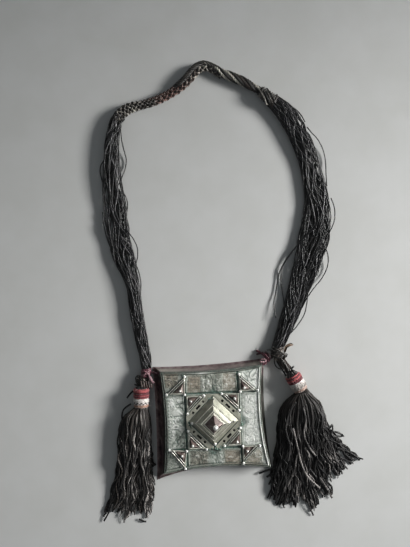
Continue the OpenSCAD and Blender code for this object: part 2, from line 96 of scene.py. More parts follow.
# Shoulder and tip of each lock of the skirts, and its width. Ends of the stray strips.
LEFT_LOCKS = table(5, -68.5, -2, -81, -74.5, 2.6, -66.5, 0, -77, -66, 5, -64.5, 2, -73, -72, 5,
    -62, 2, -69, -67, 5.4, -59, 2, -65.5, -77, 4.6, -56.5, 2, -61, -69, 5.4, -54, 2, -56.5, -73, 5,
    -51.5, 2, -52, -70, 5, -49.5, 2, -48.7, -75.5, 3.6, -48.4, 1, -46.8, -66, 5, -48, -1, -45, -59.5, 4,
    -48, -3, -45.6, -36, 3)
RIGHT_LOCKS = table(5, 52, 8, 44.5, -58, 4.8, 53.5, 10, 47, -65, 5, 56, 10, 51.5, -62, 5.4,
    58.5, 10, 55, -68, 5, 61, 10, 60, -63, 5.4, 63.5, 10, 64.5, -69, 5, 66, 9.5, 70, -63, 5.4,
    68.5, 9, 76.5, -71.5, 4.4, 70.5, 9, 80, -64, 5, 73, 8.5, 84.5, -58, 5, 75, 8.5, 90.5, -59, 4,
    77, 8.5, 88, -49, 5, 79, 9, 94.5, -46, 4.6, 81, 9.5, 98, -41, 4.6, 82.5, 9.5, 104, -36.5, 4.4,
    83.5, 8, 112.5, -32, 3)
RIGHT_STRAYS = table(4, 52, -8, 47.2, -28, 52, -36, 36.2, -41.5, 53, -38, 41.8, -44.2, 91, -9, 99.4, -12.4)


# Points and paths.
def seen_at(px, py, z):
    """The point at height z that the photograph shows at that pixel."""
    m = EYE_H / (EYE_H - z)
    return [((px - CENTRE[0]) / m + EYE[0]) * PIXEL, (EYE[1] - (py - CENTRE[1]) / m) * PIXEL, z]


def seen(numbers):
    """Points from triples: a pixel of the photograph and a height."""
    return [seen_at(*numbers[i:i + 3]) for i in range(0, len(numbers), 3)]


def through(route, u):
    """Points of a smooth curve through a route's points, at the places u."""
    route = np.asarray(route, float)
    u = np.clip(np.asarray(u, float), 0, len(route) - 1)
    i = np.minimum(np.floor(u).astype(int), len(route) - 2)
    t = (u - i)[:, None]
    a, b, c, d = (route[np.clip(i + k, 0, len(route) - 1)] for k in (-1, 0, 1, 2))
    return 0.5 * (2 * b + (c - a) * t + (2 * a - 5 * b + 4 * c - d) * t**2 + (3 * b - a - 3 * c + d) * t**3)


def unit(v):
    return v / np.maximum(np.linalg.norm(v, axis=-1, keepdims=True), 1e-9)


def bearing(degrees):
    return np.array([math.cos(math.radians(degrees)), math.sin(math.radians(degrees)), 0.0])


def lifted(xy, z):
    """Flat points at a height, or at a height each."""
    return np.concatenate([xy, np.broadcast_to(z, len(xy))[:, None]], 1)


def run_of(path):
    """The length along a path up to each of its points."""
    return np.concatenate([[0], np.cumsum(np.linalg.norm(np.diff(path, axis=0), axis=1))])


def spread(route, step):
    """A smooth curve through a route's points, with points about step apart."""
    fine = through(route, np.linspace(0, len(route) - 1, 20 * len(route)))
    run = run_of(fine)
    at = np.linspace(0, run[-1], max(3, int(run[-1] / step) + 1))
    return np.stack([np.interp(at, run, fine[:, k]) for k in range(3)], 1)


def along(path, *values):
    """Values spread evenly along a path."""
    return np.interp(np.linspace(0, 1, len(path)), np.linspace(0, 1, len(values)), values)


def half_size(u, sizes):
    """Half the width and half the height at the places u."""
    return [np.interp(u, sizes[:, 0], sizes[:, k]) / 2 for k in (1, 2)]


def neck_at(u):
    """Points of the neck route at the places u, and the direction across it."""
    last = len(NECK_ROUTE) - 1
    t = unit(through(NECK_ROUTE, np.minimum(u + 0.05, last)) - through(NECK_ROUTE, np.maximum(u - 0.05, 0)))
    return through(NECK_ROUTE, u), np.stack([-t[:, 1], t[:, 0]], 1)


def neck_line(start, end):
    """Places along the neck route, about half a millimetre apart, their points, and the direction across."""
    u = np.linspace(start, end, 400)
    run = run_of(through(NECK_ROUTE, u))
    u = np.interp(np.linspace(0, run[-1], int(2 * run[-1])), run, u)
    middle, across = neck_at(u)
    return u, middle, lifted(across, 0)


def level_frame(path):
    """The directions across and above a path."""
    t = unit(np.gradient(path, axis=0))
    side = unit(np.cross(UP, t))
    return side, np.cross(t, side)


def circled(side, top, angles, across, upward):
    """Offsets across and above a path, at angles round it."""
    return side * np.reshape(across * np.cos(angles), (-1, 1)) + top * np.reshape(upward * np.sin(angles), (-1,
        1))


def ease(s):
    return s * s * (3 - 2 * s)


def between(field, x, y, bend=lambda s: s):
    """A grid's values at the places x, y, from the four points around each."""
    x, y = (np.clip(v, 0, n - 1) for v, n in zip((x, y), field.shape))
    i, j = (np.minimum(v.astype(int), n - 2) for v, n in zip((x, y), field.shape))
    s, t = bend(x - i), bend(y - j)
    return (field[i, j] * (1 - s) * (1 - t) + field[i + 1, j] * s * (1 - t)
            + field[i, j + 1] * (1 - s) * t + field[i + 1, j + 1] * s * t)


# Mesh tools. Lengths are millimetres until an object is made.
def net(sides, rings):
    """The faces between rings of points that are closed all round."""
    j, k = (v.ravel() for v in np.meshgrid(np.arange(rings - 1), np.arange(sides), indexing="ij"))
    after = (k + 1) % sides
    here, above = j * sides, (j + 1) * sides
    return np.stack([here + k, here + after, above + after, above + k], 1).tolist()


def write(mesh, **fields):
    """Writes a value for each vertex to named attributes."""
    for key, values in fields.items():
        mesh.attributes.new(key, "FLOAT", "POINT").data.foreach_set("value", np.asarray(values, np.float32))


def blank(name, materials):
    mesh = bpy.data.meshes.new(name)
    for material in materials:
        mesh.materials.append(material)
    return mesh


def placed(name, mesh, replaced):
    piece = linked(name, mesh)
    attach(piece, "root")
    if replaced:
        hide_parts(*replaced)
    return piece


def turns_by(edge, degrees):
    """Whether an edge's faces meet at more than so many degrees."""
    return len(edge.link_faces) == 2 and edge.calc_face_angle(0) > math.radians(degrees)


def smoothed(bm, mesh, degrees):
    """Writes to the mesh, shaded smooth apart from the edges that turn by more than so many degrees."""
    for face in bm.faces:
        face.smooth = True
    for edge in bm.edges:
        edge.smooth = not turns_by(edge, degrees)
    bm.to_mesh(mesh)
    bm.free()


class Surface:
    """Faces with a material each, and a tone and a warmth for each vertex."""

    def __init__(self):
        self.points, self.faces, self.slots, self.tones, self.warmths, self.count = [], [], [], [], [], 0

    def add(self, points, faces, slot=0, tone=0.5, warmth=0.0):
        points = np.asarray(points, float).reshape(-1, 3)
        self.points.append(points)
        self.faces += [[i + self.count for i in face] for face in faces]
        self.slots += [slot] * len(faces) if np.isscalar(slot) else list(slot)
        self.tones.append(np.broadcast_to(tone, len(points)))
        self.warmths.append(np.broadcast_to(warmth, len(points)))
        self.count += len(points)

    def sweep(self, paths, across, upward, sides=6, slot=0, tone=0.5, warmth=0.0, turn=0.0, level=False,
              flat=1.0):
        """A closed tube along each of several paths of equal count, with half sizes across and upward.

        turn rotates the section along the way. flat under 1 widens the flat faces of a ribbon."""
        paths = np.asarray(paths, float)
        if paths.ndim == 2:
            paths = paths[None]
        s, n, _ = paths.shape
        t = unit(np.gradient(paths, axis=1))
        if level:
            side = unit(np.cross(UP, t))
        else:
            side = np.zeros_like(paths)
            first = np.cross(UP, t[:, 0])
            first[np.linalg.norm(first, axis=1) < 0.1] = [1, 0, 0]
            side[:, 0] = unit(first)
            for j in range(1, n):
                before = side[:, j - 1]
                side[:, j] = unit(before - t[:, j] * np.sum(before * t[:, j], axis=1, keepdims=True))
        top = np.cross(t, side)
        turn = np.broadcast_to(turn, (s, n))[:, :, None]
        side, top = side * np.cos(turn) + top * np.sin(turn), top * np.cos(turn) - side * np.sin(turn)
        angles = TAU * (np.arange(sides) + 0.5 * (flat < 1)) / sides
        ca, sa = np.cos(angles), np.sin(angles)
        if flat < 1:
            ca, sa = np.sign(ca) * np.abs(ca) ** flat, np.sign(sa) * np.abs(sa) ** flat
        across, upward = (np.broadcast_to(v, (s, n))[:, :, None, None] for v in (across, upward))
        ring = (paths[:, :, None] + side[:, :, None] * ca[None, None, :, None] * across
                + top[:, :, None] * sa[None, None, :, None] * upward)
        tone, warmth = (np.broadcast_to(np.asarray(v, float).reshape(-1, 1) if np.ndim(v) == 1 else v, (s, n))
                        for v in (tone, warmth))
        faces = net(sides, n) + [list(range(sides))[::-1], [(n - 1) * sides + q for q in range(sides)]]
        for i in range(s):
            self.add(ring[i], faces, slot if np.isscalar(slot) else slot[i],
                     np.repeat(tone[i], sides), np.repeat(warmth[i], sides))

    def cord(self, points, radius=0.42, tone=0.35, step=2.0, warmth=0.0):
        """One cord through points."""
        self.sweep(spread(points, step), radius, radius, 6, 0, tone, warmth)

    def core(self, path, radius, sides):
        """The dark middle of a plait or a knot: a tube in the darkest tone, as painted shade between the laces.
        """
        self.sweep(path, radius, radius, sides, 0, 0.0)

    def make(self, name, materials, slot, *replaced, **fields):
        """The object of these faces, which rides on the body and stands for the CAD nodes named.

        fields are further values for each vertex."""
        mesh = blank(name, materials)
        mesh.from_pydata((np.concatenate(self.points) * MM).tolist(), [], self.faces)
        write(mesh, tone=np.concatenate(self.tones), warmth=np.concatenate(self.warmths), **fields)
        mesh.polygons.foreach_set("material_index", self.slots)
        mesh.polygons.foreach_set("use_smooth", [True] * len(mesh.polygons))
        mesh.validate()
        return placed(name, mesh, replaced)


# Materials.
class Finish:
    """One procedural material in the making."""

    def __init__(self, name, **sockets):
        self.material = bpy.data.materials.new(name)
        self.material.use_nodes = True
        self.nodes, self.links = self.material.node_tree.nodes, self.material.node_tree.links
        self.shader = self.nodes["Principled BSDF"]
        for key, value in sockets.items():
            self.set(key, value)
        self.where = self.node("TexCoord").outputs["Object"]
        self.normal = None

    def put(self, value, socket):
        if isinstance(value, bpy.types.NodeSocket):
            self.links.new(value, socket)
        else:
            socket.default_value = value

    def set(self, key, value):
        self.put(value, self.shader.inputs[key.replace("_", " ")])

    def node(self, kind, **sockets):
        made = self.nodes.new("ShaderNode" + kind)
        for key, value in sockets.items():
            self.put(value, made.inputs[key.replace("_", " ")])
        return made

    def noise(self, size, detail=3.0, rough=0.55, stretch=(1, 1, 1), warp=0.0):
        """Noise whose features are about size millimetres."""
        at = self.node("Mapping", Vector=self.where, Scale=stretch).outputs["Vector"]
        return self.node("TexNoise", Vector=at, Scale=1000 / size, Detail=detail, Roughness=rough,
                         Distortion=warp).outputs["Fac"]

    def cells(self, size):
        return self.node("TexVoronoi", Vector=self.where, Scale=1000 / size).outputs["Distance"]

    def field(self, name):
        made = self.node("Attribute")
        made.attribute_name = name
        return made.outputs["Fac"]

    def math(self, how, a, b, clamp=False):
        made = self.node("Math")
        made.operation, made.use_clamp = how, clamp
        self.put(a, made.inputs[0])
        self.put(b, made.inputs[1])
        return made.outputs[0]

    def times(self, a, b, clamp=False):
        return self.math("MULTIPLY", a, b, clamp)

    def plus(self, a, b, clamp=False):
        return self.math("ADD", a, b, clamp)

    def ranged(self, value, low, high, to_low=0.0, to_high=1.0):
        return self.node("MapRange", Value=value, From_Min=low, From_Max=high, To_Min=to_low,
                         To_Max=to_high).outputs["Result"]

    def ramp(self, value, *stops):
        made = self.node("ValToRGB", Fac=value)
        while len(made.color_ramp.elements) < len(stops):
            made.color_ramp.elements.new(0.5)
        for element, (at, colour) in zip(made.color_ramp.elements, stops):
            element.position, element.color = at, shade(colour)
        return made.outputs["Color"]

    def mix(self, factor, *colours):
        made = self.node("Mix")
        made.data_type = "RGBA"
        self.put(factor, made.inputs[0])
        for colour, socket in zip(colours, made.inputs[6:8]):
            self.put(shade(colour) if isinstance(colour, tuple) else colour, socket)
        return made.outputs[2]

    def relief(self, height, strength, depth):
        """Adds a bump of so many millimetres."""
        made = self.node("Bump", Strength=strength, Distance=depth * MM, Height=height)
        if self.normal:
            self.links.new(self.normal, made.inputs["Normal"])
        self.normal = made.outputs["Normal"]
        self.set("Normal", self.normal)


def shade(rgb):
    """An sRGB colour, 0 to 255, as linear RGBA."""
    return (*[(c / 255 / 12.92 if c <= 10 else ((c / 255 + 0.055) / 1.055) ** 2.4) for c in rgb], 1.0)


def leather(name, dark, mid, light, rough=(0.42, 0.62), warm=None, gloss=0.45):
    """Waxed leather: its tone varies from lace to lace and along each one, with a fine grain and worn edges.
    The tone field also carries painted light and shade.
    """
    f = Finish(name, Specular_IOR_Level=gloss, Sheen_Weight=0.05, Sheen_Roughness=0.4)
    patch, fine = f.noise(7, 2), f.noise(0.5, 4, 0.65)
    tone = f.plus(f.times(f.field("tone"), 0.7), f.times(patch, 0.6))
    tone = f.plus(f.math("SUBTRACT", tone, 0.3), f.ranged(fine, 0.3, 0.7, -0.12, 0.12))
    colour = f.ramp(tone, (0.0, dark), (0.5, mid), (1.0, light))
    if warm:
        colour = f.mix(f.times(f.field("warmth"), f.ranged(f.noise(3, 2), 0.3, 0.6, 0.5, 1.0)), colour, warm)
    f.set("Base Color", colour)
    f.set("Roughness", f.ranged(f.noise(2.5, 3), 0.3, 0.7, *rough))
    f.relief(f.cells(0.65), 0.35, 0.06)
    f.relief(fine, 0.5, 0.09)
    return f.material


def thread(name, low, high):
    """Twisted thread: fine slanting fibres over a worn colour."""
    f = Finish(name, Specular_IOR_Level=0.3, Sheen_Weight=0.3, Sheen_Roughness=0.5, Roughness=0.7)
    worn = f.plus(f.times(f.noise(2.2, 3), 0.6), f.times(f.field("tone"), 0.5))
    soiled = f.ranged(f.noise(1.0, 3, 0.7), 0.52, 0.64, 0.0, 0.7)
    f.set("Base Color", f.mix(soiled, f.ramp(worn, (0.2, low), (0.75, high)), tuple(0.4 * c for c in low)))
    f.relief(f.noise(0.35, 3, 0.6, (1, 1, 2.5)), 0.6, 0.12)
    f.relief(f.noise(1.3, 3), 0.6, 0.35)
    return f.material


def hidden_by_grime(f, speck):
    """How much of the metal is hidden: by dirt in its sheltered places, and on the case by painted shade."""
    return f.times(f.field("grime"), f.ranged(speck, 0.3, 0.62, 0.6, 1.2), clamp=True)


def silver(name, base, warm, metal=0.55, shine=(0.42, 0.58), grime=0.3, grain=0.04):
    """Worn low-grade silver: brushed, scratched, greyed, with verdigris where the surface is sheltered."""
    f = Finish(name)
    cloud, speck, scratch = f.noise(7, 4, 0.6), f.noise(1.1, 5, 0.7), f.noise(0.5, 2, 0.6, (1, 0.06, 1), 0.6)
    tone = f.plus(f.field("tone"), f.ranged(f.noise(0.55, 2, 0.6), 0.35, 0.65, -grain, grain))
    colour = f.mix(f.ranged(cloud, 0.4, 0.7), base, tuple(0.8 * c for c in base))
    colour = f.mix(f.times(f.field("warmth"), f.ranged(speck, 0.35, 0.6, 0.5, 1.0)), colour, warm)
    # The tone field paints light and shade: above a half it lightens the metal as painted highlights, below a
    # half it darkens it as painted shade; it also holds random wear.
    colour = f.mix(f.ranged(tone, 0.5, 1.0), colour, (250, 251, 246))
    colour = f.mix(f.ranged(tone, 0.5, 0.0), colour, (40, 43, 38))
    stains = f.ranged(f.noise(2.6, 4, 0.7), 0.58, 0.7, 0.0, grime)
    hidden = f.plus(hidden_by_grime(f, speck), stains, clamp=True)
    crust = f.ramp(speck, (0.3, (20, 30, 27)), (0.5, (46, 70, 62)), (0.7, (116, 146, 132)))
    f.set("Base Color", f.mix(hidden, colour, crust))
    f.set("Metallic", f.ranged(hidden, 0.1, 0.85, metal, 0.05))
    rough = f.plus(f.ranged(speck, 0.35, 0.7, *shine), f.times(hidden, 0.25))
    f.set("Roughness", f.plus(rough, f.ranged(scratch, 0.45, 0.6, -0.04, 0.06)))
    f.relief(f.noise(3.2, 2, 0.5), 0.25, 0.25)
    f.relief(scratch, 0.2, 0.04)
    f.relief(speck, 0.25, 0.05)
    return f.material


def copper(name, base, light, dark, metal=0.6, shine=(0.35, 0.55)):
    """Old copper: purple-brown tarnish, brighter where the lightness field paints light, and dark green-grey
    where the dirt-and-shade field paints shade, as on the case.
    """
    f = Finish(name)
    cloud, speck = f.noise(6, 4, 0.62, (1, 1, 1), 0.4), f.noise(0.9, 4, 0.65)
    colour = f.ramp(cloud, (0.34, dark), (0.5, base), (0.68, light))
    colour = f.mix(f.ranged(speck, 0.55, 0.75, 0.0, 0.5), colour, dark)
    colour = f.mix(f.times(f.field("worn"), f.ranged(cloud, 0.35, 0.6, 0.55, 1.0)), colour, (172, 166, 156))
    hidden = hidden_by_grime(f, speck)
    f.set("Base Color", f.mix(hidden, colour, f.ramp(speck, (0.3, (22, 22, 20)), (0.65, (58, 60, 52)))))
    f.set("Metallic", f.ranged(speck, 0.5, 0.8, metal, metal - 0.3))
    f.set("Roughness", f.ranged(cloud, 0.3, 0.7, *shine))
    f.relief(f.cells(4.5), 0.2, 0.3)
    f.relief(f.noise(0.6, 3, 0.6, (1, 0.15, 1)), 0.2, 0.05)
    return f.material


LACE = leather("lace leather", (4, 4, 5), (20, 20, 23), (140, 138, 140), (0.28, 0.44))
STRIP = leather("strip leather", (3, 3, 4), (46, 45, 45), (178, 172, 168), (0.4, 0.56), (92, 82, 74), 0.28)
PLAIT = leather("plait leather", (12, 11, 11), (58, 55, 51), (214, 210, 198), (0.34, 0.52), (118, 88, 80))
BURGUNDY = leather("burgundy leather", (38, 14, 20), (98, 54, 64), (206, 174, 178), (0.34, 0.52))
TAN = leather("tan leather", (58, 46, 38), (116, 98, 82), (190, 172, 152), (0.42, 0.6))
RED = thread("red thread", (104, 34, 40), (176, 84, 86))
MAROON = thread("dark red thread", (66, 16, 26), (112, 40, 50))
WHITE = thread("white thread", (158, 150, 144), (226, 220, 216))
BLACK = thread("black thread", (16, 14, 16), (40, 36, 38))
PINK = thread("end ring thread", (116, 92, 82), (182, 158, 146))
ORANGE = thread("end ring orange thread", (120, 82, 66), (180, 134, 112))
PLATE = silver("engraved silver", (188, 194, 184), (166, 152, 134), 0.5, (0.4, 0.56), 0.3, 0.15)
SILVER = silver("raised silver", (180, 180, 164), (170, 156, 138), 0.55, (0.34, 0.48), 0.1)
# Bright silver for rubbed edges and flat tops: wear, painted near white as painted highlights.
EDGE_WEAR_AND_HIGHLIGHT = silver("worn silver edges", (236, 234, 220), (214, 200, 184), 0.45, (0.3, 0.42), 0.0)
GAP = silver("tarnish in the corners", (70, 70, 58), (80, 66, 54), 0.3, (0.5, 0.65), 0.6)
BALLS = silver("silver balls", (250, 250, 246), (226, 214, 204), 0.25, (0.22, 0.34), 0.0)
# Near-black copper inside the case and in the holes, as painted shade.
PAINTED_SHADE_INSIDE = copper("inside of the case", (22, 18, 18), (30, 26, 24), (12, 10, 10), 0.1, (0.6, 0.8))
COPPER = copper("tarnished copper", (108, 90, 90), (146, 132, 130), (70, 54, 58), 0.5)
ROSE = copper("boss copper", (134, 118, 113), (190, 180, 174), (58, 47, 46), 0.5, (0.3, 0.44))
CAP = copper("cap copper", (88, 76, 74), (122, 112, 108), (48, 39, 40), 0.5, (0.34, 0.5))


# The bundles of thin leather cords.
def bundle(surface, start, end, sizes, flat, count, seed, rings):
    """Strands along the route that wander through the bundle's section, cross and part again.

    flat gives the share of the height that the strands fill from place to place. Those on top are painted
    lighter and those below darker, as painted light and shade."""
    rng = np.random.default_rng(seed)
    u = np.linspace(start, end, rings)
    s = (u - start) / (end - start)
    middle, across = neck_at(u)
    half_w, half_h = half_size(u, sizes)
    half_w, half_h = half_w - LACE_R, half_h * np.interp(u, *flat) - LACE_R
    one = rng.random((7, count, 1))
    crossing = (np.arange(count) % 4 == 0)[:, None]
    phase = TAU * one[0] + TAU * (one[1] - 0.5) * np.where(crossing, 3.2, 1.0) * 1.6 * s
    phase = phase + (0.55 + 0.35 * crossing) * np.sin(TAU * ((1.2 + 3 * one[2]) * s + one[3]))
    out = np.sqrt(one[4]) + 0.3 * np.sin(TAU * ((1.5 + 2.5 * one[5]) * s + one[1]))
    out = np.clip(np.maximum(np.abs(out + 0.1 * np.sin(TAU * (6 * s + one[2]))), 0.85 * crossing), 0.0, 1.0)
    x, z = out * np.cos(phase) * half_w, out * np.sin(phase) * half_h + half_h + LACE_R
    paths = np.concatenate([middle[None] + across[None] * x[:, :, None], z[:, :, None]], 2)
    # Painted light and shade: strands higher in the bundle get a lighter tone.
    raised = np.clip((out * np.sin(phase) - 0.1) / 0.8, 0, 1)
    tone = np.clip(0.15 * one[6] + raised * (0.1 + 1.05 * one[6] ** 2), 0, 1)
    surface.sweep(paths, LACE_R, LACE_R, 6, tone=tone, turn=one[3] * 3)


left = Surface()
bundle(left, 4.9, 21.3, LEFT_SIZES, ([5, 11, 13, 16, 18], [1.0, 0.95, 0.78, 0.78, 1.0]), 56, 11, 92)
for tone, *points in (
        (0.35, 120, 121, 5, 121, 133, 4, 122, 142, 3, 124.5, 152, 2, 126.3, 160, 1, 125.3, 168, 1,
            122.5, 176, 2, 118, 186, 4),
        (0.35, 108, 150, 5, 104, 160, 4, 101, 165, 2.5, 100, 171, 1.5, 101.4, 178, 2.5, 104, 188, 4),
        (0.5, 124, 226, 5, 129, 233, 5, 134, 240, 4, 137.3, 248, 2, 137.6, 257, 1.5, 135.5, 265, 3,
            134, 274, 4.5),
        (0.35, 131, 262, 5, 137, 267, 4.5, 140, 277, 3, 141, 286, 2, 140, 296, 3, 138, 304, 4),
        (0.6, 121, 190, 5, 126, 197, 4.5, 127.6, 206, 3, 126, 214, 3.5, 122, 221, 5),
        (0.4, 103, 222, 4, 106, 234, 3, 111, 246, 2.2, 117, 258, 2, 123, 270, 2.5, 128, 282, 4),
        (0.2, 102.6, 212, 4, 104, 226, 2.6, 107.4, 240, 1.4, 113, 253, 1, 119, 266, 1.2, 125.4, 279, 2.2,
            130, 290, 4),
        (0.7, 104, 226, 4.4, 109, 240, 4, 116, 252, 4, 124, 262, 5)):
    left.cord(seen(points), tone=tone)
left_cords = left.make("left_cords", [LACE], "dark_leather", "left_strands")

right = Surface()
bundle(right, 37.2, 54.2, RIGHT_SIZES, ([38, 41, 43, 52, 54], [1.0, 0.92, 0.72, 0.74, 1.0]), 78, 23, 100)
for tone, *points in (
        (0.35, 277, 97, 6, 283, 101, 6, 290, 105.5, 5, 296, 109.5, 4.5, 301, 115, 5, 305, 122, 6),
        (0.5, 307, 127, 6, 311, 132, 5, 317, 138.5, 4, 321.5, 146, 2.5, 324.5, 155, 1.5, 325.8, 165, 1.5,
            326, 174, 2.5, 327, 186, 4),
        (0.35, 305, 232, 5, 298, 244, 4, 290, 254, 3, 284, 263, 2, 279.5, 272, 1.5, 277.5, 282, 1,
            275.5, 293, 1, 274, 304, 2, 276, 318, 4),
        (0.6, 304, 236, 4, 296, 247, 3, 288, 258, 2, 282, 268, 1.5, 281, 280, 1, 282.5, 292, 1.5, 284, 305, 3,
            283, 318, 4),
        (0.35, 323, 243, 5, 326.5, 250, 4, 328.3, 259, 2.5, 327, 268, 1.5, 322, 278, 1.5, 314, 288, 3,
            307, 298, 4.5, 302, 308, 5),
        (0.35, 308, 292, 5, 306.5, 305, 4, 304, 315, 2, 297, 326, 2, 290, 334, 3, 284, 342, 4),
        (0.6, 331, 198, 5, 334, 206, 4, 335, 215, 3, 333.5, 224, 4, 329, 233, 5)):
    right.cord(seen(points), tone=tone)
right_cords = right.make("right_cords", [LACE], "dark_leather", "right_strands")


# The neck: a round plait that turns into thin plaits twisted round each other.
def plait(surface, path, radius, carriers, pitch, lace, weave, tone, warmth=0.0, spin=0.0, both=True):
    """A round plait: carriers wind round the path both ways, or one way only, and cross each other.

    radius, tone and warmth may be values spread evenly along the path. A lace is painted lighter where it is on
    top and darker where it passes under, as painted light and shade."""
    radius, tone, warmth = (along(path, *v) if isinstance(v, tuple) else v for v in (radius, tone, warmth))
    side, top = level_frame(path)
    w = TAU * run_of(path) / pitch
    paths, tones = [], []
    for sign in ((1, -1) if both else (1,)):
        for j in range(carriers):
            a = sign * w + TAU * (j + (0.5 if sign < 0 else 0)) / carriers + spin
            over = sign * np.sin(carriers * w) if both else np.sin(a)
            r = radius + (weave * over if both else 0)
            paths.append(path + circled(side, top, a, r, r))
            # Painted light and shade: a lace is lighter on top and darker underneath.
            tones.append(tone + 0.28 * over + 0.14 * (j % 3 - 1))
    warmth = np.broadcast_to(warmth, len(path))[None]
    surface.sweep(np.array(paths), lace, lace, 6, 0, np.clip(tones, 0, 1.4), warmth)


neck = Surface()
# Where the left bundle gathers, a wide pale plait narrows to the neck's own.
u, middle, across = neck_line(20.7, 24.4)
path = lifted(middle, 4.1) + across * along(u, 0, 0, -0.3, -0.9, -1.3)[:, None]
plait(neck, path, (3.0, 3.6, 3.1, 2.3, 1.9), 5, 17, 0.55, 0.5, (0.5, 0.75, 0.7, 0.45, 0.3), 0.05)
neck.core(path, along(path, 2.5, 3.1, 2.7, 1.8, 1.2), 10)
# Two plaits side by side: a pinkish one, and a thinner dark one above it.
path = spread(seen([133, 108.6, 3.6, 142, 106.4, 3.4, 150, 104.6, 3.2, 158, 101.6, 3.2, 166, 97.8, 3.2,
    173, 93.8, 3.2, 180, 89, 3.1, 186.6, 83.4, 3, 191.6, 77.8, 3, 196, 72.4, 3.1, 200.6, 69, 3.3,
    206, 67.8, 3.4, 211.4, 69.8, 3.4, 216, 73, 3.2, 221, 76.6, 3]), 0.5)
plait(neck, path, (1.0, 1.4, 1.5, 1.6, 1.9, 1.9, 1.8, 1.5), 3, 14, 0.56, 0.42,
      (0.3, 0.5, 0.45, 0.4, 0.6, 0.8, 0.8, 0.7), (0.2, 0.5, 0.8, 0.9, 0.5, 0.2, 0.1, 0.0))
neck.core(path, along(path, 0.9, 1.3, 1.5, 1.6, 1.7, 1.5), 8)
path = spread(seen([131, 104.6, 4.6, 139, 103, 4.5, 147, 101, 4.5, 155, 98.4, 4.4, 163, 94.6, 4.4,
    170, 90.6, 4.2, 176, 86.6, 3.8]), 0.5)
plait(neck, path, (0.5, 0.9, 1.0, 1.0, 0.9), 2, 6.6, 0.55, 0.3,
      (0.5, 0.35, 0.3, 0.2, 0.15), (0.1, 0.3, 0.5, 0.3))
# A dark cord crosses over them and makes the top of the loop.
path = spread(seen([171, 89.6, 3, 176, 85.8, 4.4, 181, 81.6, 5.6, 185.6, 77, 5.9, 189.6, 72, 5.7,
    193.4, 67.6, 5.4, 197.6, 64.8, 5.2, 202.6, 63.2, 5, 208, 64, 4.8, 213.4, 66.2, 4.6, 219, 69, 4.2]), 0.5)
plait(neck, path, (0.7, 1.4, 1.5, 1.5, 1.4, 1.2), 6, 17, 0.68, 0.0,
      (0.0, 0.1, 0.25, 0.35, 0.3, 0.2), both=False)
neck.core(path, along(path, 0.6, 1.4, 1.4, 1.1), 8)
# Seven cords, two of them pale, twist round each other up to the wrap.
u, middle, across = neck_line(30.7, 36.4)
run, line = run_of(middle), lifted(middle, 3.9)
reach = np.interp(u, [30.7, 31.4, 32.6, 34, 35.4, 36.4], [1.4, 2.2, 2.75, 2.6, 1.9, 1.5])
TWIST, OVER_AT = 36, 31.5
for k, (tone, plied) in enumerate(((1.2, 1), (0.05, 0), (1.15, 1), (0.0, 0), (0.45, 1), (0.05, 0), (0.15, 1))):
    a = TAU * (run - np.interp(OVER_AT, u, run)) / TWIST + TAU / 4 - TAU * k / 7
    path = line + circled(across, UP, a, reach, 0.9 * reach)
    if plied:
        plait(neck, path, 0.5, 2, 4.6, 0.6, 0.0, tone, 0.15 if k == 4 else 0.03, spin=k, both=False)
    else:
        # Plain cords are painted lighter where they come on top, as painted light.
        neck.sweep(path, 1.1, 1.05, 8, 0, tone + 0.25 * np.clip(np.sin(a), 0, 1)[None])
# A core in the darkest tone, as painted shade between the cords.
neck.sweep(line, reach - 0.5, reach - 0.6, 8, 0, 0.0)
neck_plait = neck.make("neck_plait", [PLAIT], "braid_leather", "neck_braid", "neck_twist")

# The wrap of laces that holds the right bundle together.
wrap = Surface()
u = np.linspace(35.9, 37.6, 330)
middle, across = neck_at(u)
a = np.linspace(0, TAU * 7.5, len(u))
half_w, half_h = (np.interp(u, [35.9, 36.7, 37.6], sizes) for sizes in ([3.9, 4.4, 4.9], [3.5, 3.8, 3.6]))
path = lifted(middle + across * (half_w * np.cos(a))[:, None], half_h * np.sin(a) + half_h + 0.65)
wrap.sweep(path, 0.6, 0.55, 6, 0, (0.3 + 0.5 * np.sin(a / 7.5 * 4) ** 4)[None], 0.05)
# A core in the darkest tone, as painted shade between the laces.
wrap.sweep(lifted(through(NECK_ROUTE, np.linspace(35.7, 37.7, 8)), 4.3), 3.7, 3.2, 12, 0, 0.0)
wrap.cord(seen([271, 99, 7.6, 274, 96.5, 7.8, 277.3, 94.5, 7]), 0.6, 0.2, 1)
for x, tone in ((258, 0.9), (261.5, 0.2), (264, 0.85), (267, 0.3)):
    wrap.cord(seen([x, 88.4, 6.4, x + 3.4, 93, 8.5, x + 6.6, 99, 8.5, x + 9, 105, 6.2]), 0.55, tone, 1)
neck_wrap = wrap.make("neck_wrap_laces", [PLAIT], "dark_leather", "neck_wrap")


# Knots, thongs and tails.
def coils(surface, start, end, sizes, turns, lace, tone, slant=0.0, warmth=0.0):
    """A lace wound round the route between two places."""
    u = np.linspace(start, end, int(40 * turns))
    a = np.linspace(0, TAU * turns, len(u))
    middle, across = neck_at(u)
    t = np.stack([across[:, 1], -across[:, 0]], 1)
    w, h = (half - lace for half in half_size(u, sizes))
    flat = middle + across * (w * np.cos(a))[:, None] + t * (slant * np.cos(a))[:, None]
    surface.sweep(lifted(flat, h * np.sin(a) + h + lace), lace, lace * 0.9, 6, 0, tone, warmth)


def filled(surface, start, end, sizes, share):
    """The dark middle of a knot: a tube in the darkest tone, as painted shade between the laces."""
    u = np.linspace(start, end, 9)
    w, h = half_size(u, sizes)
    surface.sweep(lifted(through(NECK_ROUTE, u), h), w * share, h * share, 12, 0, 0.0)


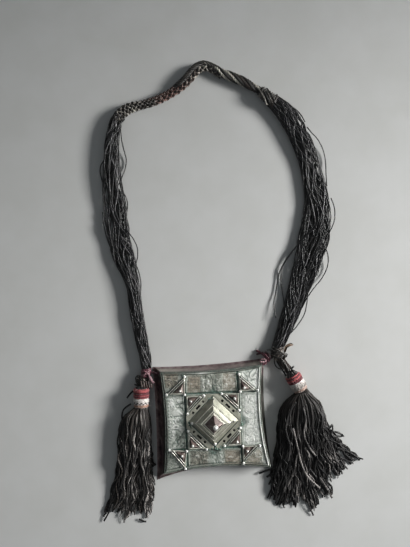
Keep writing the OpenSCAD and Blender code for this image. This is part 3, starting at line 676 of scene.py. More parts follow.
tie = Surface()
filled(tie, 2.55, 5.05, LEFT_TIE, 0.72)
coils(tie, 2.75, 4.95, LEFT_TIE, 4.5, 0.85, 0.62)
tie.cord([[-52.6, 36.6, 6.2], [-50.4, 37.2, 8.0], [-47.6, 35.4, 8.1], [-46.2, 33.0, 7.4]], 0.8, 0.8, 0.7)
tie.cord([[-52.2, 33.4, 6.4], [-50.2, 34.4, 8.2], [-47.4, 36.8, 7.6], [-45.8, 37.2, 5.6]], 0.8, 0.9, 0.7)
tie.make("left_tie_thong", [BURGUNDY], "burgundy_leather", "left_tie")

knot = Surface()
filled(knot, 0, 2.6, LEFT_KNOT, 0.66)
u = np.linspace(0, 2.7, 60)
path = lifted(through(NECK_ROUTE, u), 4.2)
plait(knot, path, np.interp(u, [0, 1.2, 2.7], [2.0, 3.1, 2.7]), 3, 8.6, 0.75, 0.5, 0.3, 0.15)
coils(knot, 0.5, 1.3, LEFT_KNOT, 2.2, 0.75, 0.1, slant=1.2)
knot.cord([[-53.4, 33, 5.6], [-55.8, 33.2, 5.4], [-57, 31.2, 4.6], [-56.4, 29.2, 4.6], [-54.8, 28.2, 5.2]],
          0.5, 0.45, 0.8)
knot.cord([[-54, 31.6, 7], [-55.8, 30.6, 6.6], [-56.6, 28.8, 5.8], [-55.2, 27.2, 6]], 0.55, 0.6, 0.8)
for x0, y0, x1, y1 in ((141, 378, 136.6, 376.6), (140, 386, 134.6, 384.6), (147, 384, 151, 386.5),
                       (139, 382, 136, 380.5)):
    knot.cord(seen([x0, y0, 6.4, (x0 + x1) / 2, (y0 + y1) / 2, 6.4, x1, y1, 5.2]), 0.62, 0.2, 0.8)
for k in range(5):
    x = 141 + 2.4 * k
    knot.cord(seen([x, 381, 8.0, x + 0.5, 385, 8.3, x + 1.2, 388, 8.3]), 0.7, 0.4 - 0.06 * k, 0.8, 0.35)
knot.make("left_knot_laces", [PLAIT], "dark_leather", "left_knot")

thong = Surface()
line = spread(THONG_ROUTE, 1.0)
side, top = level_frame(line)
for k in (0, 1):
    a = TAU * np.arange(len(line)) / 9 + math.pi * k
    thong.sweep(line + circled(side, top, a, 0.5, 0.5), 0.58, 0.55, 6, 0, 0.4 + 0.35 * k)
# Its knot at the right corner: a tail on the floor, a loop on the wall and two turns beside the black knot.
for radius, tone, *points in ((0.8, 0.55, 256, 350.6, 0.8, 259.4, 352, 1.4, 262.8, 354.6, 3.4, 266.4, 358, 5.6,
        269, 361.4, 5.6), (0.75, 0.35, 256.6, 354.4, 1, 260.6, 353.4, 2.4, 265, 353.8, 4.4, 269, 356.4, 6,
        272, 358, 6), (0.6, 0.85, 260.4, 359.6, 6.4, 264, 359.4, 6.8, 266.2, 360.8, 6.6, 264, 362, 7.2,
        259.8, 361.6, 8.4), (0.75, 0.1, 265, 352.4, 4, 268.4, 354.4, 6.4, 270, 358, 6.8, 268.6, 361.6, 5),
        (0.7, 0.5, 262, 352.4, 3.2, 266, 355.4, 6.4, 269.6, 359.6, 6.4)):
    thong.cord(seen(points), radius, tone, 0.7)
thong.make("thong_laces", [BURGUNDY], "burgundy_leather", "thong")
tail = Surface()
line = spread([[-46.6, 33.6, 8.0], [-45.9, 32.6, 8.3], [-44.6, 30.4, 8.6], [-43, 28, 8.2]], 0.8)
tail.sweep(line, 1.0, 0.5, 8, 0, 0.95, level=True, flat=0.6)
tail.make("left_thong_end", [BURGUNDY], "burgundy_leather", "left_thong_tail")

loops = Surface()
filled(loops, 53.9, 56.0, RIGHT_KNOT, 0.62)
coils(loops, 54.3, 55.9, RIGHT_KNOT, 4.5, 0.8, 0.35, slant=1.6)
coils(loops, 54.1, 55.6, RIGHT_KNOT, 2.6, 0.7, 0.8, slant=-2.0, warmth=0.2)
for radius, tone, step, *points in (
        (0.75, 0.6, 0.8, 272, 358, 6, 276, 353, 8.8, 281, 352, 9.2, 285, 356, 7.5, 283, 361, 6),
        (0.7, 0.3, 0.8, 271, 355, 5.5, 276, 357.5, 9, 281, 357, 9.2, 285, 352, 6.5),
        (0.42, 0.1, 1, 265, 352, 6, 268, 349.8, 5, 271.5, 350.6, 4.4, 274, 354, 5.4, 275, 358, 7),
        (0.42, 0.1, 1, 274.5, 358, 6, 274.6, 363, 3.4, 276.6, 367, 2.4, 280, 369, 3, 283.5, 368, 5)):
    loops.cord(seen(points), radius, tone, step)
line = spread(seen([281, 353.5, 7.6, 284, 354.5, 7.6, 286.8, 355.8, 6.6]), 0.8)
loops.sweep(line, 1.5, 0.6, 8, 0, 0.05, level=True, flat=0.6)
loops.make("right_knot_laces", [PLAIT], "dark_leather", "right_knot")

lead = Surface()
u = np.linspace(55.8, 58, 46)
middle, across = neck_at(u)
w = np.interp(u, [56, 57, 58], [2.5, 2.1, 2.4])
rise = np.interp(u, [56, 58], [0, 0.9])
for k, tone in enumerate([0.2, 0.75, 0.35, 0.85, 0.15, 0.6, 0.3]):
    a = TAU * k / 7 + 2.4 * (u - 55.8) / 2.2
    path = lifted(middle + across * (w * np.cos(a))[:, None], 3.7 + w * np.sin(a) + rise)
    lead.sweep(path, 0.72, 0.66, 6, 0, tone, 0.15)
lead.core(lifted(middle, 3.7 + rise), 1.7, 8)
for radius, tone, step, *points in (
        (0.75, 0.0, 0.8, 288.5, 371.5, 6, 290.8, 369.6, 6.4, 293.6, 366.4, 5.4),
        (0.7, 0.05, 0.9, 277, 361, 4, 280, 366, 3.4, 284, 372, 3.6, 286, 376, 4.6),
        (0.75, 0.7, 0.9, 281, 358, 6.8, 284.5, 363, 6.8, 287.5, 368, 6.8, 289, 373, 6.8)):
    lead.cord(seen(points), radius, tone, step)
lead.make("right_lead_laces", [PLAIT], "dark_leather", "right_lead")

# The curled tan tail: a strip of leather that rolls in along its length.
curl = Surface()
line = spread([[54.6, 51.4, 6.0], [55, 52.8, 6.8], [56, 55.4, 7.8], [58.6, 57, 8], [61.2, 56.6, 7]], 0.5)
side, top = level_frame(line)
share, ACROSS, THICK = np.linspace(0, 1, len(line)), 11, 0.4
roll = np.interp(share, [0, 0.4, 0.8, 1], [1.1, 0.7, 0.9, 0.5])[:, None] * np.linspace(-1, 1, ACROSS) * 1.5
width = np.interp(share, [0, 0.45, 0.8, 1], [1.0, 1.5, 1.4, 0.7])[:, None]
shell = (line[:, None] + side[:, None] * (width * np.sin(roll) / 1.2)[:, :, None]
         + top[:, None] * (width * (0.9 - np.cos(roll)))[:, :, None])
under = shell - top[:, None] * THICK
faces = [[a, d, c, b] for a, b, c, d in net(2 * ACROSS, len(line))]
last = (len(line) - 1) * 2 * ACROSS
faces += [list(range(2 * ACROSS)), [last + q for q in range(2 * ACROSS)][::-1]]
curl.add(np.concatenate([shell, under[:, ::-1]], 1), faces, tone=0.55)
curl.make("right_curled_tail", [TAN], "tan_leather", "right_leather_tail")


# The heads of the tassels.
def head_frame(head):
    """A head's middle at its start, and the directions along it and across it."""
    t = bearing(head[1])
    return np.array([*head[0], HEAD_R]), t, np.cross(UP, t)


def head_rings(surface, head, start, end, outer, thick, kinds, tones, wave, seed):
    """Threads wound side by side round a head, between two places along it.

    kinds gives each thread's materials, which alternate round the head."""
    rng = np.random.default_rng(seed)
    middle, t, side = head_frame(head)
    count = max(1, round((end - start) / thick))
    pitch = (end - start) / count
    a = np.linspace(0, TAU, 49)
    around = circled(side, UP, a, 1, 1)
    for i in range(count):
        kind = kinds[min(i, len(kinds) - 1)]
        r = outer - pitch / 2 - (0.25 if i in (0, count - 1) else 0.0) + 0.12 * rng.random() - 0.1
        lean = wave * np.sin(a + rng.random() * 6)
        path = middle + t * (start + pitch * (i + 0.5) + lean)[:, None] + around * r
        slots = [kind[q // 12 % len(kind)] for q in range(6 * (len(a) - 1))] + [kind[0]] * 2
        tone = tones[min(i, len(tones) - 1)] + 0.15 * rng.random()
        surface.sweep(path, pitch * 0.56, pitch * 0.56, 6, [slots], tone)
    sleeve = np.array([middle + t * x for x in (start + 0.2, (start + end) / 2, end - 0.2)])
    surface.sweep(sleeve, outer - 0.75 * pitch, outer - 0.75 * pitch, 32, kinds[0][0], 0.2)


def head_laces(surface, head, count, seed):
    """The laces that gather into a head and run through its wraps."""
    rng = np.random.default_rng(seed)
    middle, t, side = head_frame(head)
    start, end = head[2][0], head[2][3]
    x = np.array([0, 0.35 * start, 0.7 * start, start, start + 2, (start + end) / 2, end])
    r = np.interp(x, [0, start, end], [0.6 * CORE_R, CORE_R, CORE_R]) - 0.6
    paths = []
    for k in range(count):
        a = TAU * (k + 0.6 * rng.random()) / count + 0.25 * x / end
        paths.append(middle + t * x[:, None] + circled(side, UP, a, r, r))
    tone = np.where(np.arange(count) % 2, 0.95, 0.1) * rng.random(count) ** 0.5
    surface.sweep(np.array(paths), 0.72, 0.7, 6, 0, tone)
    surface.core(middle + t * x[:, None], r - 0.4, 16)


for name, head, seed, *wraps in (
        ("left", LEFT_HEAD, 5,
         ([(0,), (0,), (0,), (1,), (1,), (0,), (1,), (0,)], [0.9, 0.95, 0.3, 0.1, 0.2, 0.5, 0.35, 0.4], 0.12),
         ([(0,), (0,), (0,), (0, 1), (1, 0)], [0.7, 0.9, 0.8, 0.5], 0.08),
         ([(0,), (1,), (0,)], [0.8, 0.5, 0.6], 0.1)),
        ("right", RIGHT_HEAD, 9,
         ([(0,), (1,), (0,), (0,), (1,), (1,)], [0.8, 0.5, 0.95, 0.6, 0.4, 0.2], 0.25),
         ([(0,)], [0.9, 0.8, 0.4, 0.1, -0.3, -0.5], 0.08),
         ([(0,)], [0.8, 0.5, 0.6], 0.35))):
    gathered = Surface()
    head_laces(gathered, head, 16, seed)
    gathered.make(name + "_head_laces", [STRIP], "dark_leather", name + "_head_core")
    ends = head[2]
    for i, (title, node, slot, gap, outer, thick, materials) in enumerate((
            ("_red_thread", "_red_wrap", "red_wrap", 0, HEAD_R, 0.9, [RED, MAROON]),
            ("_white_thread", "_white_wrap", "white_wrap", 0.05, HEAD_R - 0.1, 0.9, [WHITE, BLACK]),
            ("_end_thread", "_end_ring", "end_ring", 0.05, HEAD_R - 0.4, 0.75, [PINK, ORANGE]))):
        band = Surface()
        head_rings(band, head, ends[i] + gap, ends[i + 1], outer, thick, *wraps[i], seed + i)
        band.make(name + title, materials, slot, name + node)


# The skirts: many flat, curly strips of leather, inside the form of the CAD skirt.
def form_height(node):
    """A function that gives the smoothed top of a CAD node at points x, y."""
    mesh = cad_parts[node].data
    tree = BVHTree.FromPolygons([v.co for v in mesh.vertices], [list(p.vertices) for p in mesh.polygons])
    low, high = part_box(node)
    xs, ys = (np.arange(a / MM - 8, b / MM + 8, 1.0) for a, b in ((low.x, high.x), (low.y, high.y)))
    top = np.zeros((len(xs), len(ys)))
    for i, x in enumerate(xs):
        for j, y in enumerate(ys):
            hit = tree.ray_cast(Vector((x * MM, y * MM, 0.1)), Vector((0, 0, -1)))[0]
            top[i, j] = hit.z / MM if hit else 0.0
    for _ in range(5):
        padded = np.pad(top, 1, mode="edge")
        top = sum(padded[a:a + len(xs), b:b + len(ys)] for a in range(3) for b in range(3)) / 9
    return lambda x, y: between(top, x - xs[0], y - ys[0])


def skirt(surface, node, root, heading, locks, count, seed, flare, warmth, light):
    """Strips from the head's end to the locks' tips. Each drifts between neighbouring locks, waves and twists.

    They hang straight from the shoulder, and flare out near the tips."""
    rng = np.random.default_rng(seed)
    height = form_height(node)
    s = np.linspace(0, 1, 40)
    way = bearing(heading)[:2]
    aside = np.array([-way[1], way[0]])
    last = len(locks) - 1

    def swing(low, span):
        """A wave down a strip, with a random length and phase."""
        return np.sin(TAU * (s * (low + span * rng.random()) + rng.random()))

    paths, tones, warmths, widths, turns = [], [], [], [], []
    for i in range(count):
        layer = (i + 0.5) / count
        a = rng.random() * last
        b = np.clip(a + rng.normal(0, 1.2), 0, last)
        place = a + (b - a) * ease(s)
        row = np.stack([np.interp(place, np.arange(len(locks)), locks[:, c]) for c in range(5)], 1)
        ring = (a / last - 0.5) * 2
        start = np.array(root) - way * 3.0 + aside * ring * CORE_R * 0.85
        drop = s * (1.02 - 0.26 * rng.random() ** 1.3)
        near_head = np.clip(1 - drop / 0.2, 0, 1)
        bulge = 1 - near_head ** 2
        xy = start[None] + (row[:, 0:2] - start[None]) * bulge[:, None]
        fall = np.clip((drop - 0.1) / 0.9, 0, 1)
        xy += (row[:, 2:4] - row[:, 0:2]) * np.stack([fall**flare, fall], 1)
        xy[:, 0] += (rng.random() - 0.5) * row[:, 4] * 0.8 * bulge
        wave = (0.9 + 1.1 * s) * bulge * (0.3 + rng.random()) * swing(1.5, 2.2)
        curl = (0.25 + 0.45 * s) * bulge * (0.4 + rng.random()) * swing(3, 2.5)
        xy += aside[None] * (wave + curl)[:, None]
        top = np.maximum(height(xy[:, 0], xy[:, 1]), 1.6)
        z = 0.55 + layer**0.8 * (top - 1.3)
        start_z = HEAD_R + (2 * layer - 1) * CORE_R * 0.8 * math.sqrt(max(0.05, 1 - (0.85 * ring) ** 2))
        z = start_z + (z - start_z) * np.clip(drop / 0.16, 0, 1) ** 1.2
        z += (0.2 * layer * bulge + 0.4 * s) * swing(1.5, 2)
        paths.append(lifted(xy, np.maximum(z, 0.5)))
        pick = rng.random()
        # Painted shade: lower layers, and strips on the side away from the lamp, are darker.
        shaded = (0.35 + 0.65 * layer) * (0.3 + 0.7 * np.clip(place / last / 0.35, 0, 1))
        if pick < light:
            worn = (0.5 + 0.65 * rng.random()) * (0.5 + light)
        else:
            worn = (0.42 if pick > 0.68 else 0.06) * pick
        tones.append(worn * shaded + (0.04 + 0.36 * rng.random() ** 2) * s**3)
        warmths.append(warmth * rng.random() ** 2 + 0.2 * near_head)
        widths.append((0.62 + 0.42 * rng.random()) * (1 - 0.25 * s))
        turns.append((rng.random() - 0.5) * 2 + (0.3 + 0.4 * s) * swing(1, 2))
    paths = np.array(paths)
    turns = np.array(turns) * np.clip(paths[:, :, 2] / 1.2, 0.3, 1.0)
    surface.sweep(paths, np.array(widths), 0.36, 6, 0, np.array(tones), np.array(warmths), turns, True, 0.75)


def strip(surface, points, width=0.7, thick=0.32, tone=0.2):
    surface.sweep(spread(points, 1.0), width, thick, 6, 0, tone, level=True, flat=0.75)


fringe = Surface()
skirt(fringe, "left_skirt", [-52.6, 7.2], -90, LEFT_LOCKS, 230, 31, 3.0, 0.25, 0.56)
for tone, *points in ((0.2, 133, 391, 7, 130, 394, 6, 127, 398, 4.4), (0.2, 131, 404, 8, 127, 406.5, 7.5,
        123.5, 410, 6.5, 122, 416, 6, 123, 424, 6.5), (0.5, 112, 504, 3, 109, 512, 2, 104, 521, 1),
        (0.7, 127, 498, 5, 126, 510, 3.5, 124, 522.5, 1.2), (0.3, 139, 519, 1, 143, 521, 1, 146.5, 521.5, 0.8)):
    strip(fringe, seen(points), tone=tone)
fringe.make("left_fringe", [STRIP], "strip_leather", "left_skirt")

fringe = Surface()
skirt(fringe, "right_skirt", [68.5, 19.5], -59, RIGHT_LOCKS, 290, 47, 1.9, 0.06, 0.36)
for x0, y0, x1, y1 in RIGHT_STRAYS:
    strip(fringe, [[1.4 * x0 - 0.4 * x1, 1.4 * y0 - 0.4 * y1, 4.0], [x0, y0, 3.4],
                   [(x0 + x1) / 2, (y0 + y1) / 2 + 0.6, 2.6], [x1, y1, 1.4]], 0.8, 0.35)
for tone, *points in ((1, 293, 428, 11, 297, 445, 10.5, 301, 462, 9, 306, 474, 8.4, 314, 483, 7, 320, 488, 5),
        (0.8, 303, 408, 12, 306, 420, 11.4, 304, 434, 10.5, 309, 447, 9.4, 316, 456, 8), (0.6, 296, 402, 11,
        289, 414, 10.6, 286, 430, 10, 290, 446, 9, 288, 462, 8), (0.9, 320, 478, 5, 326, 487, 3,
        332, 498, 1.2), (0.7, 307, 499, 3, 310, 508, 2, 313.5, 515.5, 1), (0.15, 279, 440, 5, 277, 448, 4,
        273.6, 457, 2.4), (0.3, 330, 428, 5, 332, 424.6, 5, 332.6, 429, 4.6, 331, 434, 4.4, 334, 437, 3.6,
        339, 436.6, 2.6, 344, 435.8, 2)):
    strip(fringe, seen(points), tone=tone)
fringe.make("right_fringe", [STRIP], "strip_leather", "right_skirt")

# The engraved front plate: corners and how far each side bows in.
FRONT = [([-35.3, -38.8], 3.4), ([44.1, -33.6], 3.6), ([37.4, 42.5], 1.7), ([-38.3, 36.9], 2.3)]
PLATE_LOW, PLATE_TOP, CELLS = 10.02, 10.8, 276
# The pierced band: its middle, its turn, how far out its sides are, and how far apart its holes are.
BAND_AT, BAND_TURN, BAND_MID, PITCH = (1.5, 0.5), 2.6, 15.6, 5.5


def side_of(rows, i, t):
    """Points of side i of an outline whose sides bow in."""
    a, b, bow = np.array(rows[i][0], float), np.array(rows[(i + 1) % 4][0], float), rows[i][1]
    inward = unit(np.array([-(b - a)[1], (b - a)[0]]))
    return a + (b - a) * t[:, None] + inward * (bow * 4 * t * (1 - t))[:, None]


def outline_of(rows, steps):
    t = np.linspace(0, 1, steps + 1)[:-1]
    return np.concatenate([side_of(rows, i, t) for i in range(4)])


def plate_grid(share):
    """Points inside the plate's outline, spread evenly between its four sides."""
    south, east = side_of(FRONT, 0, share), side_of(FRONT, 1, share)
    north, west = side_of(FRONT, 2, share)[::-1], side_of(FRONT, 3, share)[::-1]
    u, v = (w[:, :, None] for w in np.meshgrid(share, share, indexing="ij"))
    c = [np.array(corner, float) for corner, _ in FRONT]
    return ((1 - v) * south[:, None] + v * north[:, None] + (1 - u) * west[None] + u * east[None]
            - (1 - u) * (1 - v) * c[0] - u * (1 - v) * c[1] - u * v * c[2] - (1 - u) * v * c[3])


def to_segment(a, b):
    """How far each point of the plate is from a segment."""
    t = np.clip(((PX - a[0]) * (b - a)[0] + (PY - a[1]) * (b - a)[1]) / max(1e-9, (b - a) @ (b - a)), 0, 1)
    return np.hypot(PX - a[0] - t * (b - a)[0], PY - a[1] - t * (b - a)[1])


GRID = np.linspace(0, 1, CELLS + 1)
PX, PY = plate_grid(GRID).reshape(-1, 2).T
# From each point: how far the edge is, and how much that edge faces the lamp on the right, which sets the rim's
# painted light.
INLAND, FACING = np.full(len(PX), 1e9), np.zeros(len(PX))
edge = outline_of(FRONT, 59)
for a, b in zip(edge, np.roll(edge, -1, axis=0)):
    away = to_segment(a, b)
    FACING = np.where(away < INLAND, unit(b - a)[1], FACING)
    INLAND = np.minimum(INLAND, away)
# What the marks change: the height, and the shares of dirt, of warm patches, and of painted light and shade,
# with some wear, that lighten or darken the metal.
RISE, GRIME, WARM, PAINTED_LIGHT_AND_WEAR = (np.full(len(PX), start) for start in (0.0, 0.0, 0.0, 0.5))


def bell(distance, width):
    return np.exp(-((distance / width) ** 2))


def carve(distance, width, depth, dirt=0.5, shine=0.0):
    """A rounded groove, or a ridge where depth is negative. shine paints a highlight on the metal along it
    where positive, and shade where negative.
    """
    g = np.exp(-((distance / (width / 2)) ** 2) * 1.4)
    RISE[:] -= depth * g
    GRIME[:] = np.maximum(GRIME, dirt * g)
    PAINTED_LIGHT_AND_WEAR[:] += shine * bell(distance, 0.6 * width)


def spot(pixel):
    """A pixel of the photograph on the plate, in millimetres."""
    return np.array(seen_at(*pixel, PLATE_TOP)[:2])


def stroke(pixels, width, depth, dirt, shine=0.0):
    """An engraved line through pixels. shine paints a highlight along it where positive, and shade where
    negative.
    """
    points = [spot(pixel) for pixel in np.reshape(pixels, (-1, 2))]
    for a, b in zip(points[:-1], points[1:]):
        carve(to_segment(a, b), width, depth, dirt, shine)


def glint(pixels, width, shine):
    """A line painted bright as a highlight, or painted dark as shade where shine is negative."""
    stroke(pixels, width, -0.08, 0.0, shine)


def ring_mark(pixel, radius, width, depth, dirt, shine=0.0):
    x, y = spot(pixel)
    carve(np.abs(np.hypot(PX - x, PY - y) - radius), width, depth, dirt, shine)


def dot_mark(pixel, radius, depth, dirt):
    ring_mark(pixel, 0, 2 * radius, depth, dirt)


def patch(pixels, shine=0.0, warm=0.0, dirt=0.0, soft=6):
    """An area between two pixels, left or right and top to bottom, that is lighter, warmer or dirtier. Its
    shine paints light there, and shade where negative.
    """
    (x0, y0), (x1, y1) = spot(pixels[:2]), spot(pixels[2:])
    u, v = np.abs(PX - (x0 + x1) / 2) / abs(x1 - x0) * 2, np.abs(PY - (y0 + y1) / 2) / abs(y1 - y0) * 2
    g = 1 / (1 + np.maximum(u, v) ** (2 * soft))
    PAINTED_LIGHT_AND_WEAR[:] += shine * g
    WARM[:] = np.maximum(WARM, warm * g)
    GRIME[:] = np.maximum(GRIME, dirt * g)


# Borders between the panels: a green groove with a fine wire beside it.
for x0, y0, x1, y1 in ((183.6, 371, 187.6, 467), (236.6, 369, 242.2, 464), (164, 395, 259, 390.6),
        (167, 450.6, 262, 445.8)):
    d = to_segment(spot((x0, y0)), spot((x1, y1)))
    carve(d, 1.5, 0.4, 1.0)
    carve(np.abs(d - 1.15), 0.6, -0.28, 0.0)
    GRIME += 0.35 * bell(d, 2.6)
# Tone of the panels: the right ones are painted brighter as painted light, some places are darker, and the
# patches of the strips are warm.
for shine, warm, dirt, *pixels in ((0.26, 0, 0, 243.5, 394, 259, 446), (0.2, 0, 0, 241, 362, 260, 388),
        (0.06, 0, 0, 166, 395, 184, 432), (-0.22, 0, 0.15, 176, 432, 185, 449),
        (-0.12, 0.95, 0, 187, 376, 200.5, 393), (0.02, 0.9, 0, 222.5, 373, 236, 391),
        (-0.14, 0.3, 0.15, 201, 372, 222, 393), (-0.2, 0.85, 0, 164, 373, 178, 388),
        (-0.22, 0.55, 0, 190, 451, 208, 465), (-0.1, 0, 0.25, 208, 451, 223, 465),
        (-0.1, 0.95, 0, 225, 450, 241, 464), (-0.06, 0.75, 0, 246, 449, 262, 465),
        (-0.1, 0.1, 0.2, 168, 452, 180, 470)):
    patch(pixels, shine, warm, dirt)
# Painted light near the right rim of the top right square and of the right panel.
patch([254.5, 366, 260, 392], 0.35, soft=2)
patch([255, 394, 259, 446], 0.1, dirt=0.12, soft=2)
# Left panel: a fan of planes, a band of eyes and dashes, and small checks below, drawn mostly as painted
# highlights. Dots run along its edges, each with a painted highlight beside it.
for y in np.arange(398, 448, 3.3):
    x = 167.6 + 0.05 * (y - 398)
    dot_mark((x, y), 0.5, 0.2, 0.9)
    glint([x + 1, y + 1.6, x + 1.3, y + 1.8], 1.0, 0.22)
for width, shine, *pixels in ((2, 0.5, 170.9, 400.6, 172.8, 404.6), (3, 0.16, 172.4, 405, 174.5, 414),
        (1.1, 0.34, 177.4, 400, 180.4, 403), (1.2, 0.42, 178, 410.4, 181.6, 414.4),
        (2.4, 0.18, 175, 409, 178, 414), (1, 0.55, 172.8, 419.4, 175.9, 422.3),
        (1.3, 0.6, 177.3, 418.8, 177.4, 420.3), (1, 0.32, 179.8, 422.4, 183.2, 418.8),
        (0.9, 0.5, 172.6, 427.8, 175, 425.2, 178.4, 426.2), (0.9, 0.4, 173.6, 428.6, 178.2, 428.7),
        (1, 0.34, 173, 421.6, 173.4, 424), (0.9, 0.26, 180.4, 424.6, 183.6, 427.6),
        (1.6, 0.55, 174.2, 431.5, 174.4, 432), (2.4, 0.1, 173.4, 432.5, 173.2, 441)):
    glint(pixels, width, shine)
for pixels in ((176, 404.8, 182.6, 403.6), (176.6, 407.8, 181.6, 408.4), (179.4, 406, 183.6, 411),
        (173.6, 416.6, 183, 416.4), (173.6, 421.4, 175.4, 424.2), (176.4, 422.2, 179.4, 422.8),
        (174, 430, 178.6, 430), (179.8, 426.2, 182.4, 426.4), (172, 446, 178, 436), (184.4, 431, 176, 444)):
    stroke(pixels, 0.75, 0.2, 0.75, -0.12)
for i, x in enumerate((174.6, 176.6, 178.6, 180.6, 182.6)):
    for j, y in enumerate((441.4, 444, 446.6)):
        if (i + j) % 2:
            dot_mark((x, y), 0.55, 0.2, 0.9)
        else:
            glint([x, y, x + 0.2, y], 1.1, 0.35)
# Right panel: faint zigzags, partly painted highlights, a ring painted bright as a highlight, and small rings
# along the edge.
for y in np.arange(398, 446, 4.8):
    ring_mark((256.6 - 0.02 * (y - 398), y), 0.8, 0.5, 0.12, 0.45)
for pixels in ((244.6, 394.8, 253.8, 394.4), (244.4, 411, 247, 413.6, 250.6, 412.4), (247, 403, 250, 399),
        (246, 418.6, 248.4, 421, 247, 424), (250.4, 424.6, 253, 426), (245, 432.6, 248, 436.4),
        (244.2, 396, 245.6, 445), (253.8, 396, 255, 445), (250, 441.6, 255, 442.4), (246, 429.4, 253, 428.6)):
    stroke(pixels, 0.55, 0.14, 0.4, -0.06)
for pixels in ((244.2, 413.4, 246, 416, 249, 417.6), (251, 420.2, 252.6, 423.6), (246.6, 397.6, 247.6, 399.4),
        (251.6, 397.4, 252.6, 399.6), (248, 426.8, 252, 426), (252.6, 436, 254, 440)):
    glint(pixels, 0.9, 0.35)
ring_mark((247, 439.4), 1.35, 0.8, -0.1, 0.0, 0.5)
dot_mark((247.1, 439.4), 0.4, 0.2, 0.8)
# Top strip: squares within squares on the warm patches, and scrolls between them, partly painted highlights.
for cx, cy, w, h in ((194, 384.4, 6.0, 7.4), (194, 384.4, 3.6, 4.2), (229, 381.6, 6.0, 7.6),
                     (229, 381.6, 3.4, 4.6)):
    left_x, right_x, top_y, low_y = cx - w, cx + w, cy - h, cy + h
    stroke([left_x, top_y, right_x, top_y, right_x, low_y, left_x, low_y, left_x, top_y], 0.5, 0.14, 0.35)
for x in np.arange(225, 234, 2.1):
    for y in (375.6, 378, 380.4, 382.8, 385.2, 387.6):
        dot_mark((x, y), 0.34, 0.12, 0.45)
glint([190.8, 384.2, 197, 384], 0.8, 0.2)
glint([225.6, 379, 226, 384, 227, 386], 1.4, 0.16)
for pixels in ((201.6, 378, 203.4, 379.8, 202.8, 383, 204.4, 387, 203.2, 391),
        (208.8, 384, 210.6, 386, 211, 390), (206.8, 378, 208.6, 381, 207, 384), (217, 386, 219.4, 389),
        (220, 379, 218.4, 382)):
    glint(pixels, 0.95, 0.3)
for pixels in ((205, 376, 205.8, 382, 204.6, 386, 206, 391), (210.6, 376, 212.4, 381, 211.8, 385, 213, 391),
        (215.6, 376, 215.2, 384, 216, 391), (218.4, 384.6, 221, 388.4), (213.6, 377, 214, 382)):
    stroke(pixels, 0.7, 0.18, 0.65, -0.1)
# Bottom strip: slanting dashes painted bright as highlights between the warm patches.
for x, y, shine in ((212.6, 454.6, 0.42), (212.6, 459.4, 0.42), (220, 454.6, 0.42),
                    (220.4, 459.6, 0.42), (216.4, 456.8, 0.14), (209, 458, 0.14)):
    glint([x, y, x + 2.2, y + 2.8], 1.0, shine)
for x in (210.6, 215, 218.2, 223):
    stroke([x, 452, x + 3.4, 464], 0.6, 0.18, 0.5, -0.08)
for y in (453.6, 456.4, 459.2, 462):
    stroke([226.6, y, 239.6, y - 0.4], 0.5, 0.12, 0.3)
glint([230, 456.4, 231.8, 457], 1.5, 0.3)
stroke([202, 450.6, 206.4, 453.6], 0.7, 0.16, 0.6)
# Corner squares: arcs top left, scrolls top right with painted highlights beside them, curls below.
for r in (3.2, 5.4, 7.6):
    ring_mark((165, 388.6), r, 0.5, 0.14, 0.35)
for pixels in ((246.6, 368.4, 249.2, 373, 249, 377.4), (250.6, 372, 253.4, 368.6, 256.2, 367.4),
        (252.4, 377, 255, 373, 256.4, 369), (243.6, 373, 246.6, 376.4, 247.4, 380),
        (251, 380.6, 254.8, 379, 257, 380), (247, 383.4, 249.6, 386)):
    stroke(pixels, 0.8, 0.2, 0.7, -0.16)
for pixels in ((253.4, 377, 255.6, 378.2), (251.2, 383.6, 253.8, 383.8), (254, 381.4, 258, 385.6),
        (250.4, 375, 252.4, 372), (242.4, 374, 243.4, 377)):
    glint(pixels, 1.1, 0.4)
for pixel in ((173, 463.5), (178.5, 466), (171.5, 457), (255, 456), (259.4, 461)):
    ring_mark(pixel, 1.4, 0.55, 0.15, 0.5)
# Fine chasing between them: short cuts with painted shade in them and a painted highlight on one lip.
rng = np.random.default_rng(19)
for x0, y0, x1, y1, count in ((169, 397, 184, 447, 44), (244.5, 397, 255, 444, 26), (202, 375, 221, 392, 18),
        (166, 375, 180, 391, 12), (243.5, 369, 257, 388, 16), (190, 452, 224, 464, 20),
        (169, 453, 181, 468, 12), (247, 450, 262, 464, 12)):
    for _ in range(count):
        x, y, turn = rng.uniform(x0, x1), rng.uniform(y0, y1), rng.uniform(0, TAU)
        dx, dy = 0.5 * rng.uniform(0.6, 2.4) * math.cos(turn), 0.5 * rng.uniform(0.6, 2.4) * math.sin(turn)
        cut = np.array([x - dx, y - dy, x + dx, y + dy])
        stroke(cut, 0.6, 0.16, 0.6, -0.22)
        glint(cut + np.array([0.7, -0.6, 0.7, -0.6]), 0.7, 0.34)
# Wear that differs from place to place, at two scales.
rng = np.random.default_rng(7)
for cells, amount in ((46, 0.08), (110, 0.07)):
    wear = rng.normal(size=(cells, cells))
    u, v = (w.ravel() * (cells - 1) for w in np.meshgrid(GRID, GRID, indexing="ij"))
    PAINTED_LIGHT_AND_WEAR += amount * between(wear, u, v, ease)
# Around the middle: green where band, triangles and pyramid meet the plate.
UNDER_BAND, BAND_CORNER = 18, 24.5
from_middle = np.abs(PX - BAND_AT[0]) + np.abs(PY - BAND_AT[1])
beside = bell(np.maximum(0, from_middle - BAND_CORNER), 2.2) * (from_middle > UNDER_BAND)
GRIME = np.maximum(GRIME, 0.75 * beside)
